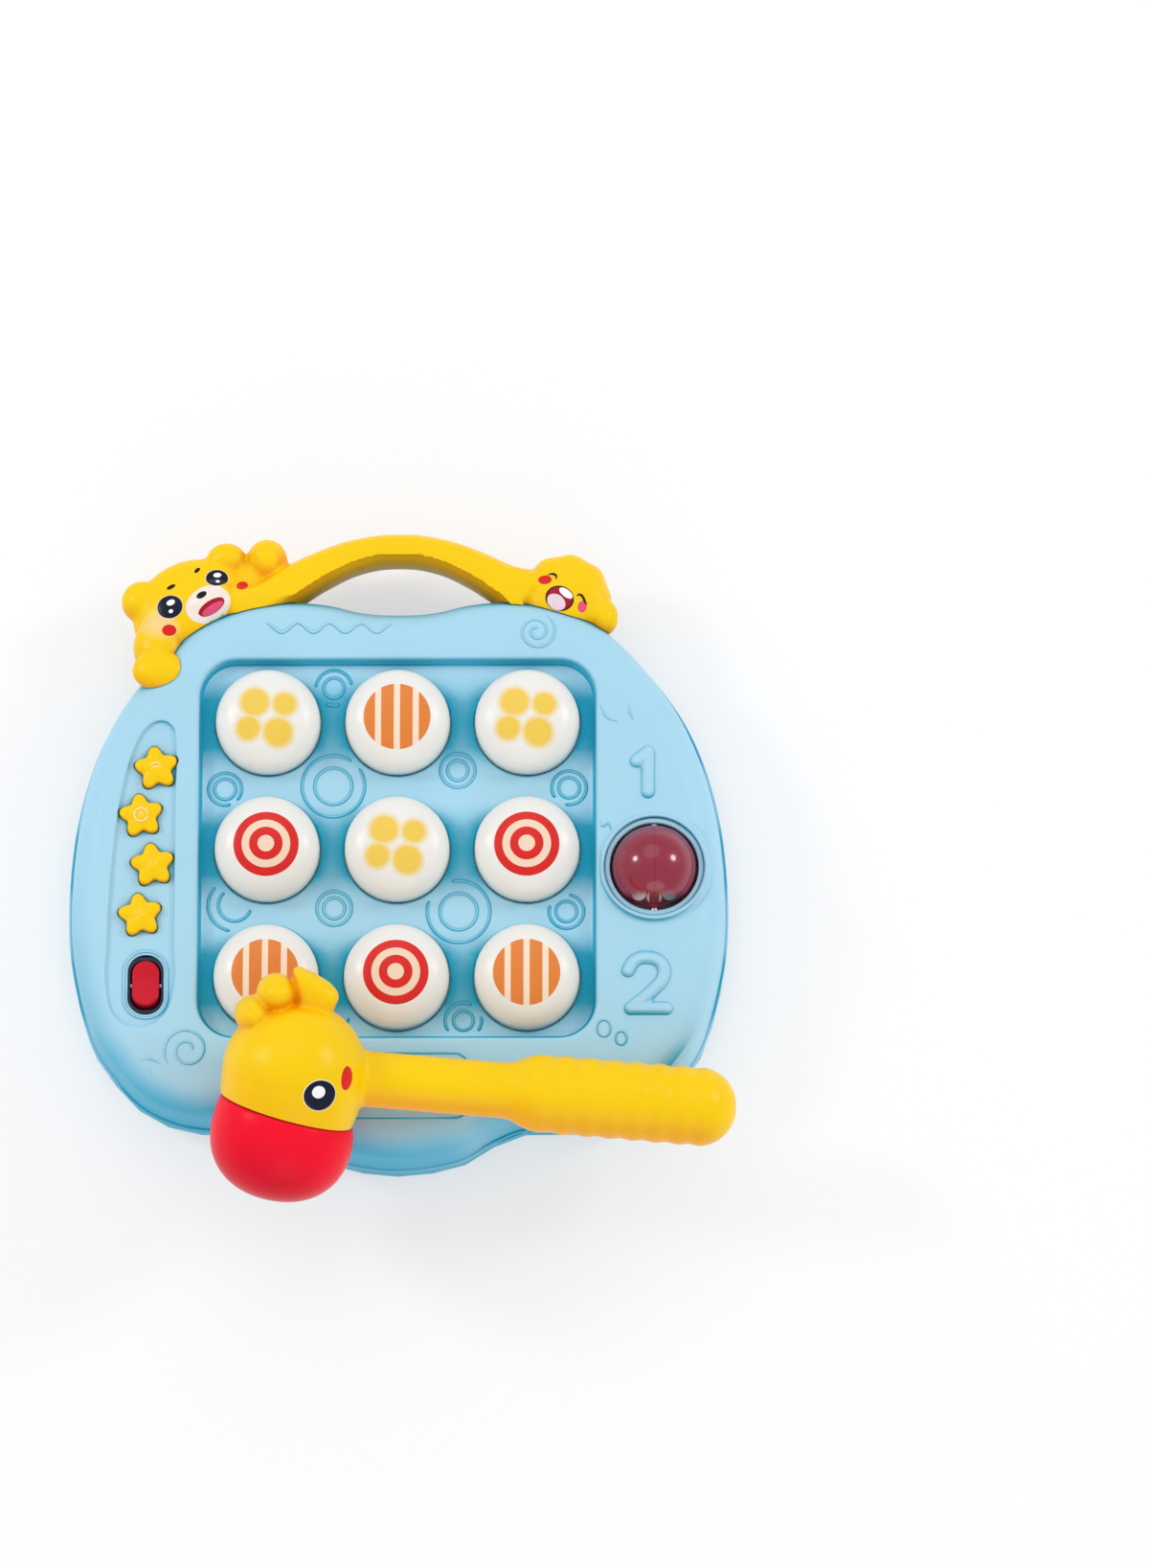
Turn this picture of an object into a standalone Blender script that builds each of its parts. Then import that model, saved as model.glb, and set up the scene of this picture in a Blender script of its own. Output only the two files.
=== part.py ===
"""A mole pounding game: a flat console with nine domes to pound, side toys, a carry handle and a mallet.

Metres, +Z out of the play face, +Y towards the carry handle, +X to the right.
The origin is the middle of the console's flat back. The mallet lies on the lower edge of the face.
"""

import math

import bmesh
import bpy
from mathutils import Matrix, Vector

# Clearances
CLEARANCE = 0.0003
OVERRUN = 0.002
SLIDE_GAP = 0.0005

# Console shells
CONSOLE_WIDTH = 0.2502
CONSOLE_HEIGHT = 0.2188
FACE_Z = 0.042
SEAM_Z = 0.012
SHELL_WALL = 0.0024
EDGE_RADIUS = 0.012
BACK_EDGE_RADIUS = 0.005
SIDE_DRAFT = 0.0016
LIP_WIDTH = 0.001
LIP_HEIGHT = 0.0022
OUTLINE_POINTS = 60
EDGE_STEPS = 4
OUTLINE_SHARES = (
    (0.153, -0.967), (0.246, -0.924), (0.301, -0.878), (0.360, -0.8465), (0.523, -0.8437),
    (0.617, -0.840), (0.683, -0.820), (0.762, -0.779), (0.855, -0.671), (0.923, -0.556),
    (0.969, -0.383), (0.994, -0.227), (1.000, -0.051), (0.986, 0.169), (0.953, 0.356),
    (0.900, 0.525), (0.839, 0.650), (0.763, 0.764), (0.700, 0.846), (0.631, 0.908),
    (0.571, 0.956), (0.449, 0.997), (0.362, 1.011), (0.232, 1.011), (0.159, 0.984))
BOTTOM_SHARE = -0.989
TOP_SHARE = 0.969

# Play recess and the nine domes
TOP_BAND = 0.0256
CHIN_BAND = 0.0482
RECESS_RADIUS = 0.014
RECESS_DEPTH = 0.006
RECESS_SIDE_GAP = 0.00625
RECESS_END_GAP = 0.00375
DOME_SPACING = 0.0095
DOME_WALL = 0.0017
DOME_SKIRT = 0.004
DOME_CROWN = 0.0105
DOME_FLANGE_WIDTH = 0.0014
DOME_FLANGE_THICKNESS = 0.0014
DOME_TRAVEL = 0.004
DOME_SEGMENTS = 14
STEM_ROOT_SHARE = 0.9
PLUNGER_RADIUS = 0.0035
RETURN_DOME_HEIGHT = 0.006
RETURN_DOME_RADIUS = 0.007
RETURN_DOME_WALL = 0.001

# Left side: tray, star buttons and rocker switch
TRAY_WIDTH = 0.0265
TRAY_TOP_WIDTH = 0.012
TRAY_EDGE_BAND = 0.01535
TRAY_TOP_SHARE = 0.5576
TRAY_BOTTOM_SHARE = -0.5302
TRAY_DEPTH = 0.0012
STAR_SIDE_SHARES = (0.21, 0.0, 0.17, 0.0)
STAR_HEIGHT_SHARES = (0.384, 0.217, 0.044, -0.132)
STAR_SPACING = 0.000935
STAR_DIP_SHARE = 0.19
STAR_TILT = math.radians(-8)
STAR_PROUD = 0.003
STAR_BEVEL = 0.0008
STAR_GAP = 0.0007
STAR_FLANGE_WIDTH = 0.0006
STAR_FLANGE_THICKNESS = 0.0014
STAR_TRAVEL = 0.0015
STAR_POINTS = 20
KEYPAD_WIDTH = 0.014
KEYPAD_THICKNESS = 0.0016
KEYPAD_MARGIN = 0.006
PAD_BUMP_RADIUS = 0.0035
PAD_BUMP_HEIGHT = 0.0022
SIDE_BOARD_MARGIN = 0.0006
SIDE_POST_RADIUS = 0.002
ROCKER_SIDE_SHARE = 0.087
ROCKER_SPACING = 0.00937
ROCKER_WIDTH = 0.0104
ROCKER_LENGTH = 0.0178
ROCKER_TOP = 0.0046
ROCKER_DISH = 0.0012
ROCKER_BOTTOM = 0.0022
ROCKER_TILT = math.radians(8)
ROCKER_SLOT_GAP = 0.0017
ROCKER_SLOT_END_GAP = 0.0024
SLOT_ROUND_SHARE = 0.45
ROCKER_ROUND_SHARE = 0.98
SWITCH_POCKET_GAP = 0.0006
SWITCH_WALL = 0.0013
SWITCH_BED = 0.0016
PIN_RADIUS = 0.001

# Right side: rattle ball in its cup
BALL_HEIGHT_SHARE = 0.034
BALL_RADIUS = 0.016
BALL_WALL = 0.0015
BALL_RISE = 0.002
AXLE_RADIUS = 0.0015
BEAD_RADIUS = 0.0028
BEAD_PITCH = 0.0058
BEAD_ANGLE = math.radians(26)
CUP_GAP = 0.0007
CUP_WALL = 0.0018
CUP_PROUD = 0.0008
CUP_FLOOR = 0.0016
CUP_FLANGE = 0.0016
COLLAR_WALL = 0.0017
COLLAR_PROUD = 0.0022
COLLAR_REACH = 0.016
COLLAR_MARGIN = 0.0014
EDGE_BAND = 0.0077

# Speaker under its grille in the chin
SPEAKER_EDGE = 0.0299
SPEAKER_RADIUS = 0.014
SPEAKER_RIM = 0.0014
SPEAKER_BASKET = 0.007
MAGNET_RADIUS = 0.008
MAGNET_HEIGHT = 0.005
SLOT_COUNT = 10
SLOT_PITCH = 0.00572
SLOT_WIDTH = 0.0021
SLOT_LENGTH = 0.0158
SLOT_END_SHARE = 0.7

# Main board and its screws
BOARD_THICKNESS = 0.0016
BOARD_INSET = 0.006
LED_RADIUS = 0.0025
LED_HEIGHT = 0.0035
LED_OFFSET = 0.0105
POST_RADIUS = 0.0032

# Screws
SCREW_RADIUS = 0.00135
SCREW_HEAD_RADIUS = 0.0028
SCREW_HEAD_HEIGHT = 0.0018
SCREW_HEAD_TOP_SHARE = 0.9
SCREW_LENGTH = 0.014
SCREW_SINK = 0.006
SCREW_BOSS_RADIUS = 0.0044
CORNER_SCREW_SHARES = ((-0.766, 0.64), (0.766, 0.64), (-0.80, -0.59), (0.80, -0.59))
TOP_SCREW_SIDE_SHARE = 0.31
TOP_SCREW_EDGE = 0.0153
BOARD_SCREW_LENGTH = 0.006

# Batteries and their door
BATTERY_RADIUS = 0.0071
BATTERY_LENGTH = 0.0492
BATTERY_NUB_RADIUS = 0.0027
BATTERY_NUB = 0.0011
BATTERY_COUNT = 3
BATTERY_HEIGHT_SHARE = 0.329
CONTACT_THICKNESS = 0.0005
CONTACT_HEIGHT = 0.010
TUB_WALL = 0.0042
DOOR_THICKNESS = 0.0019
DOOR_LEDGE = 0.0024
DOOR_TAB = 0.009
DOOR_TAB_ROUND_SHARE = 0.7

# Carry handle with two animal heads
HANDLE_Z = 0.025
HANDLE_SECTION_WIDTH = 0.011
HANDLE_SECTION_DEPTH = 0.024
HANDLE_WALL = 0.0022
HANDLE_SPAN_SHARE = 0.5116
HANDLE_RISE = 0.0240
HANDLE_LIFT = 0.0204
HANDLE_SQUARE_POWER = 0.75
HANDLE_ARCH_SHARES = (
    (-1.0, 1.04), (-0.80, 0.86), (-0.62, 0.55), (-0.45, 0.30), (-0.24, 0.08), (0.0, 0.0),
    (0.24, 0.08), (0.45, 0.30), (0.62, 0.55), (0.78, 0.78))
HEAD_Z = 0.027
BEAR_SIDE_SHARE = -0.6227
BEAR_DROP = 0.0044
BEAR_RADIUS = 0.0239
BEAR_TILT = math.radians(25)
LION_SIDE_SHARE = 0.5068
LION_LIFT = 0.0011
LION_RADIUS = 0.0172
LION_SCALLOPS = 9
LION_SCALLOP_SHARE = 0.06
LION_POLE_SHARE = 0.35
LION_ROUND_POWER = 0.7
HEAD_HALF_DEPTH = 0.0105
BEAR_FORM_SHARES = (
    ("head", (0, 0, 0), (1, 0.88), 1),
    ("ear_left", (-0.92, 0.30, 0), (0.22, 0.22), 0.45),
    ("ear_right", (0.52, 0.87, 0), (0.23, 0.23), 0.45),
    ("snout", (0.27, 0.06, 0.8), (0.38, 0.32), 0.5),
    ("arm", (0.93, 0.42, -0.1), (0.34, 0.34), 0.6),
    ("paw_raised", (1.147, 0.845, 0), (0.31, 0.31), 0.65),
    ("link", (-0.66, -0.62, 0.6), (0.27, 0.42), 0.6),
    ("paw_low", (-0.544, -1.017, 1.05), (0.41, 0.31), 0.45))
LION_FORM_SHARES = (("paw", (0.92, -0.66, 0.5), (0.30, 0.36), 0.5),)
TAB_WIDTH = 0.010
TAB_HEIGHT = 0.005
TAB_SIDE_SHARE = 0.703
TAB_DROP = 0.007
TAB_REACH = 0.005

# Mallet
MALLET_HEAD_RADIUS = 0.027
MALLET_CAP_RADIUS = 0.0266
MALLET_CAP_OFFSET = 0.0222
MALLET_CAP_LEAN = math.radians(6)
MALLET_WALL = 0.0022
CAP_WALL = 0.0026
CAP_EDGE = 0.0165
NECK_RADIUS = 0.0150
NECK_LENGTH = 0.006
SHAFT_RADIUS = 0.0104
GRIP_START = 0.085
GRIP_LENGTH = 0.0806
GRIP_RADIUS = 0.0148
GRIP_RIB_DEPTH = 0.0006
GRIP_RIBS = 7
RIB_SLOPE_SHARE = 0.25
CREST_RADIUS = 0.0066
CREST_FLAT_SHARE = 1.2
CREST_PLACE_SHARES = ((-0.63, 0.76), (-0.35, 1.12), (0.16, 1.23), (-0.02, 1.30))
CREST_BASE_PLACE_SHARES = (-0.15, 1.0)
CREST_BASE_SHARES = (0.45, 0.3)
MALLET_SIDE_SHARE = -0.2926
MALLET_EDGE = 0.0294
MALLET_ROLL = math.radians(20)
MALLET_TURN = math.radians(-3.5)
MALLET_STEEPEST = math.radians(30)
MALLET_STATIONS = 40
MALLET_BOSS_RADIUS = 0.0038
MALLET_SCREW_DEPTH = 0.007

HALF_WIDTH = CONSOLE_WIDTH / 2
HALF_HEIGHT = CONSOLE_HEIGHT / 2
CUP_INNER_RADIUS = BALL_RADIUS + CUP_GAP
CUP_RADIUS = CUP_INNER_RADIUS + CUP_WALL
COLLAR_INNER_RADIUS = CUP_RADIUS + CLEARANCE
COLLAR_RADIUS = COLLAR_INNER_RADIUS + COLLAR_WALL
SIDE_BAND = COLLAR_MARGIN + 2 * COLLAR_RADIUS + EDGE_BAND
RECESS_WIDTH = CONSOLE_WIDTH - 2 * SIDE_BAND
RECESS_HEIGHT = CONSOLE_HEIGHT - TOP_BAND - CHIN_BAND
RECESS_Y = (CHIN_BAND - TOP_BAND) / 2
DOME_ROOM_X = RECESS_WIDTH / 2 - RECESS_SIDE_GAP
DOME_ROOM_Y = RECESS_HEIGHT / 2 - RECESS_END_GAP
DOME_RADIUS = (min(DOME_ROOM_X, DOME_ROOM_Y) - DOME_SPACING) / 3
DOME_PITCH_X = DOME_ROOM_X - DOME_RADIUS
DOME_PITCH_Y = DOME_ROOM_Y - DOME_RADIUS
PLATE_Z = FACE_Z - SHELL_WALL
RECESS_Z = FACE_Z - RECESS_DEPTH
RECESS_BACK_Z = RECESS_Z - SHELL_WALL
DOME_REST_Z = RECESS_BACK_Z - CLEARANCE
PLUNGER_Z = DOME_REST_Z - DOME_FLANGE_THICKNESS - DOME_TRAVEL / 2
BOARD_TOP_Z = PLUNGER_Z - RETURN_DOME_HEIGHT - 2 * CLEARANCE
TRAY_Z = FACE_Z - TRAY_DEPTH
TRAY_X = TRAY_EDGE_BAND + TRAY_WIDTH / 2 - HALF_WIDTH
TRAY_TOP_Y = TRAY_TOP_SHARE * HALF_HEIGHT
TRAY_BOTTOM_Y = TRAY_BOTTOM_SHARE * HALF_HEIGHT
STAR_PITCH = (STAR_HEIGHT_SHARES[0] - STAR_HEIGHT_SHARES[1]) * HALF_HEIGHT
STAR_RADIUS = STAR_PITCH / 2 - STAR_SPACING
ROCKER_X = TRAY_X + ROCKER_SIDE_SHARE * TRAY_WIDTH
ROCKER_Y = STAR_HEIGHT_SHARES[-1] * HALF_HEIGHT - STAR_RADIUS - ROCKER_SPACING - ROCKER_LENGTH / 2
ROCKER_SLOT_WIDTH = ROCKER_WIDTH + 2 * ROCKER_SLOT_GAP - CLEARANCE
ROCKER_SLOT_LENGTH = ROCKER_LENGTH + 2 * ROCKER_SLOT_END_GAP
ROCKER_Z = TRAY_Z - ROCKER_TOP + ROCKER_LENGTH / 2 * math.sin(ROCKER_TILT)
BALL_X = HALF_WIDTH - EDGE_BAND - COLLAR_RADIUS
BALL_Y = BALL_HEIGHT_SHARE * HALF_HEIGHT
BALL_Z = FACE_Z - BALL_RISE
SPEAKER_Y = SPEAKER_EDGE - HALF_HEIGHT
BATTERY_Y = BATTERY_HEIGHT_SHARE * HALF_HEIGHT
HANDLE_SPAN = HANDLE_SPAN_SHARE * HALF_WIDTH
HANDLE_TOP_Y = HALF_HEIGHT + HANDLE_LIFT
TAB_X = TAB_SIDE_SHARE * HANDLE_SPAN
BEAR_X = BEAR_SIDE_SHARE * HALF_WIDTH
BEAR_Y = HALF_HEIGHT - BEAR_DROP
LION_X = LION_SIDE_SHARE * HALF_WIDTH
LION_Y = HALF_HEIGHT + LION_LIFT
GRIP_RIB_PITCH = (GRIP_LENGTH - GRIP_RADIUS) / (GRIP_RIBS + 1 / 2)
MALLET_X = MALLET_SIDE_SHARE * HALF_WIDTH
MALLET_Y = MALLET_EDGE - HALF_HEIGHT
COLLAR_BOTTOM_Z = FACE_Z - COLLAR_REACH
BATTERY_PITCH = 2 * BATTERY_RADIUS + CLEARANCE
BATTERY_Z = DOOR_THICKNESS + CLEARANCE + BATTERY_RADIUS
WELL_LENGTH = BATTERY_LENGTH + BATTERY_NUB + 2 * CONTACT_THICKNESS + 4 * CLEARANCE
WELL_WIDTH = BATTERY_COUNT * BATTERY_PITCH + CLEARANCE
WELL_TOP_Z = BATTERY_Z + BATTERY_RADIUS + CLEARANCE
DOOR_LENGTH = WELL_LENGTH + 2 * DOOR_LEDGE
DOOR_WIDTH = WELL_WIDTH + 2 * DOOR_LEDGE
STAR_REST_Z = PLATE_Z - CLEARANCE
CAP_CENTRE = Vector((-math.sin(MALLET_CAP_LEAN), -math.cos(MALLET_CAP_LEAN), 0)) * MALLET_CAP_OFFSET


def linear(channel):
    """One sRGB channel, 0 to 1, as Blender's linear value."""
    return channel / 12.92 if channel <= 0.04045 else ((channel + 0.055) / 1.055) ** 2.4


def plastic(name, hex_colour, roughness=0.3, metallic=0.0):
    material = bpy.data.materials.new(name)
    material.use_nodes = True
    shader = material.node_tree.nodes["Principled BSDF"]
    channels = [linear(int(hex_colour[at:at + 2], 16) / 255) for at in (0, 2, 4)]
    shader.inputs["Base Color"].default_value = (*channels, 1.0)
    shader.inputs["Roughness"].default_value = roughness
    shader.inputs["Metallic"].default_value = metallic
    return material


def to_object(name, bm, place=(0, 0, 0), parent=None):
    """A finished bmesh as an object, smooth where it is round."""
    bmesh.ops.recalc_face_normals(bm, faces=bm.faces)
    mesh = bpy.data.meshes.new(name)
    bm.to_mesh(mesh)
    bm.free()
    mesh.shade_smooth()
    mesh.set_sharp_from_angle(angle=math.radians(35))
    made = bpy.data.objects.new(name, mesh)
    bpy.context.collection.objects.link(made)
    made.location = place
    made.parent = parent
    return made


def piece(name, bm, material, place=(0, 0, 0), parent=None):
    made = to_object(name, bm, place, parent)
    made.data.materials.append(material)
    return made


def guide(name, bm, place=(0, 0, 0), parent=None):
    """A cutter or a form that only shapes other pieces."""
    made = to_object(name, bm, place, parent)
    made.hide_render = True
    made.display_type = "WIRE"
    return made


def shape_with(target, tool, operation):
    modifier = target.modifiers.new(tool.name, "BOOLEAN")
    modifier.operation = operation
    modifier.solver = "EXACT"
    modifier.object = tool


def cut(target, tool):
    shape_with(target, tool, "DIFFERENCE")


def join(target, tool):
    shape_with(target, tool, "UNION")


def add_loft(bm, rings):
    """A closed body through rings of points, made by extruding the first ring's face from ring to ring."""
    face = bm.faces.new([bm.verts.new(point) for point in rings[0]])
    for index, ring in enumerate(rings[1:]):
        made = bmesh.ops.extrude_face_region(bm, geom=[face])
        if index > 0:
            bmesh.ops.delete(bm, geom=[face], context="FACES_ONLY")
        face = next(part for part in made["geom"] if isinstance(part, bmesh.types.BMFace))
        for vert, point in zip(face.verts, ring):
            vert.co = point


def add_prism(bm, outline, bottom, top):
    add_loft(bm, [[(x, y, z) for x, y in outline] for z in (bottom, top)])


def add_box(bm, low, high):
    size = Vector(high) - Vector(low)
    middle = (Vector(high) + Vector(low)) / 2
    bmesh.ops.create_cube(bm, size=1, matrix=Matrix.Translation(middle) @ Matrix.Diagonal((*size, 1)))


def add_cylinder(bm, radius, start, end, segments=16):
    """A round bar between two points."""
    along = Vector(end) - Vector(start)
    turn = along.to_track_quat("Z", "Y").to_matrix().to_4x4()
    middle = Matrix.Translation((Vector(start) + Vector(end)) / 2)
    bmesh.ops.create_cone(
        bm, cap_ends=True, segments=segments, radius1=radius, radius2=radius, depth=along.length,
        matrix=middle @ turn)


def add_turned(bm, profile, segments, matrix=Matrix.Identity(4)):
    """A body turned round the Z axis from a closed profile of radius and height.

    A line of the profile that lies on the axis makes no wall.
    """
    verts = [bm.verts.new((radius, 0, height)) for radius, height in profile]
    lines = zip(verts, verts[1:] + verts[:1])
    edges = [bm.edges.new(line) for line in lines if max(line[0].co.x, line[1].co.x) > 0]
    bmesh.ops.spin(
        bm, geom=verts + edges, cent=(0, 0, 0), axis=(0, 0, 1), angle=math.tau, steps=segments,
        use_merge=True)
    bmesh.ops.remove_doubles(bm, verts=bm.verts, dist=CLEARANCE / 1000)
    bmesh.ops.transform(bm, matrix=matrix, verts=bm.verts)


def turned(profile, segments, matrix=Matrix.Identity(4)):
    bm = bmesh.new()
    add_turned(bm, profile, segments, matrix)
    return bm


def ball(radii, segments=16, rings=10, turn=0.0):
    """An ellipsoid with three half sizes, turned about Z."""
    bm = bmesh.new()
    matrix = Matrix.Rotation(turn, 4, "Z") @ Matrix.Diagonal((*radii, 1))
    bmesh.ops.create_uvsphere(bm, u_segments=segments, v_segments=rings, radius=1, matrix=matrix)
    return bm


def arc(centre, radius, start, end, steps):
    """Points of a round stretch, from one angle to another."""
    angles = [start + (end - start) * step / steps for step in range(steps + 1)]
    return [(centre[0] + radius * math.cos(angle), centre[1] + radius * math.sin(angle)) for angle in angles]


def rounded_box(width, height, radius, centre=(0, 0), steps=5):
    """The outline of a rectangle with round corners."""
    outline = []
    quarter = math.pi / 2
    for turn, (right, up) in enumerate(((1, 1), (-1, 1), (-1, -1), (1, -1))):
        corner = (centre[0] + right * (width / 2 - radius), centre[1] + up * (height / 2 - radius))
        outline += arc(corner, radius, turn * quarter, (turn + 1) * quarter, steps)
    return outline


def circle(radius, centre=(0, 0), points=20):
    return arc(centre, radius, 0, math.tau, points)[:-1]


def smooth_curve(points, steps, closed):
    """A Catmull-Rom curve through points."""
    count = len(points)
    spans = count if closed else count - 1
    curve = []
    for span in range(spans):
        around = [span - 1, span, span + 1, span + 2]
        if closed:
            around = [at % count for at in around]
        else:
            around = [min(max(at, 0), count - 1) for at in around]
        before, start, end, after = (Vector(points[at]) for at in around)
        for step in range(steps):
            t = step / steps
            curve.append(0.5 * (
                2 * start + (end - before) * t + (2 * before - 5 * start + 4 * end - after) * t ** 2
                + (3 * start - before - 3 * end + after) * t ** 3))
    if not closed:
        curve.append(Vector(points[-1]))
    return curve


def even_points(curve, count):
    """A closed curve's points again, spaced evenly."""
    ring = curve + curve[:1]
    lengths = [0.0]
    for start, end in zip(ring, ring[1:]):
        lengths.append(lengths[-1] + (end - start).length)
    points = []
    span = 0
    for index in range(count):
        goal = lengths[-1] * index / count
        while lengths[span + 1] < goal:
            span += 1
        share = (goal - lengths[span]) / (lengths[span + 1] - lengths[span])
        points.append(ring[span].lerp(ring[span + 1], share))
    return points


def console_outline():
    """The console seen from the front, anticlockwise from the middle of the chin."""
    half = [(x * HALF_WIDTH, y * HALF_HEIGHT) for x, y in OUTLINE_SHARES]
    bottom = [(0, BOTTOM_SHARE * HALF_HEIGHT)]
    top = [(0, TOP_SHARE * HALF_HEIGHT)]
    mirrored = [(-x, y) for x, y in reversed(half)]
    return even_points(smooth_curve(bottom + half + top + mirrored, 8, True), OUTLINE_POINTS)


OUTLINE = console_outline()


def inset(distance):
    """The console's outline, moved inwards by a distance."""
    moved = []
    for index, point in enumerate(OUTLINE):
        along = OUTLINE[(index + 1) % OUTLINE_POINTS] - OUTLINE[index - 1]
        inwards = Vector((-along.y, along.x)).normalized()
        moved.append(point + inwards * distance)
    return moved


def console_loft(levels):
    """A body through copies of the outline, each at its inset and height."""
    bm = bmesh.new()
    add_loft(bm, [[(*point, height) for point in inset(distance)] for distance, height in levels])
    return bm


def face_edge(grow, steps):
    """Insets and heights of the round edge of the face, thinned or grown by a distance."""
    radius = EDGE_RADIUS + grow
    centre = (LIP_WIDTH + SIDE_DRAFT + EDGE_RADIUS, FACE_Z - EDGE_RADIUS)
    return arc(centre, radius, math.pi, math.pi / 2, steps)


def star(radius, tilt, points=STAR_POINTS):
    """A five-pointed star with round tips and dips."""
    outline = []
    for index in range(points):
        angle = math.tau * index / points
        reach = radius * (1 - STAR_DIP_SHARE * (1 - math.cos(5 * angle)))
        outline.append((reach * math.sin(angle + tilt), reach * math.cos(angle + tilt)))
    return outline[::-1]


def screw(radius, length, head_radius, head_height):
    """A pan-head screw that points up, with its head's seat at height 0."""
    return turned(
        ((0, -head_height), (SCREW_HEAD_TOP_SHARE * head_radius, -head_height), (head_radius, 0),
         (radius, 0), (radius, length - radius), (0, length)), 8)


def dome_places():
    steps = (-1, 0, 1)
    return [(column * DOME_PITCH_X, RECESS_Y - row * DOME_PITCH_Y) for row in steps for column in steps]


def post_places():
    sides = (-1, 1)
    return [(x * DOME_PITCH_X / 2, RECESS_Y - y * DOME_PITCH_Y / 2) for y in sides for x in sides]


def star_places():
    return [(TRAY_X + side * TRAY_WIDTH, height * HALF_HEIGHT)
            for side, height in zip(STAR_SIDE_SHARES, STAR_HEIGHT_SHARES)]


def screw_places():
    corners = [(x * HALF_WIDTH, y * HALF_HEIGHT) for x, y in CORNER_SCREW_SHARES]
    top_x = TOP_SCREW_SIDE_SHARE * HALF_WIDTH
    top_y = HALF_HEIGHT - TOP_SCREW_EDGE
    return corners + [(-top_x, top_y), (top_x, top_y)]


def recess_outline(grow=0.0):
    width = RECESS_WIDTH + 2 * grow
    height = RECESS_HEIGHT + 2 * grow
    return rounded_box(width, height, RECESS_RADIUS + grow, (0, RECESS_Y))


def tray_outline():
    """The teardrop round the stars and the switch: narrow at the top, wide at the bottom."""
    radius = TRAY_WIDTH / 2
    tip = TRAY_TOP_WIDTH / 2
    low = arc((TRAY_X, TRAY_BOTTOM_Y + radius), radius, math.pi, math.tau, 8)
    high = arc((TRAY_X + radius - tip, TRAY_TOP_Y - tip), tip, 0, math.radians(135), 6)
    return low + [(TRAY_X + radius, 0)] + high


def slot_places():
    """Middle, top and bottom of each grille slot. The end slots are shorter."""
    places = []
    for index in range(SLOT_COUNT):
        step = index - (SLOT_COUNT - 1) / 2
        share = SLOT_END_SHARE if index in (0, SLOT_COUNT - 1) else 1
        reach = SLOT_LENGTH / 2 * share
        places.append((step * SLOT_PITCH, SPEAKER_Y + reach, SPEAKER_Y - reach))
    return places


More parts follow.
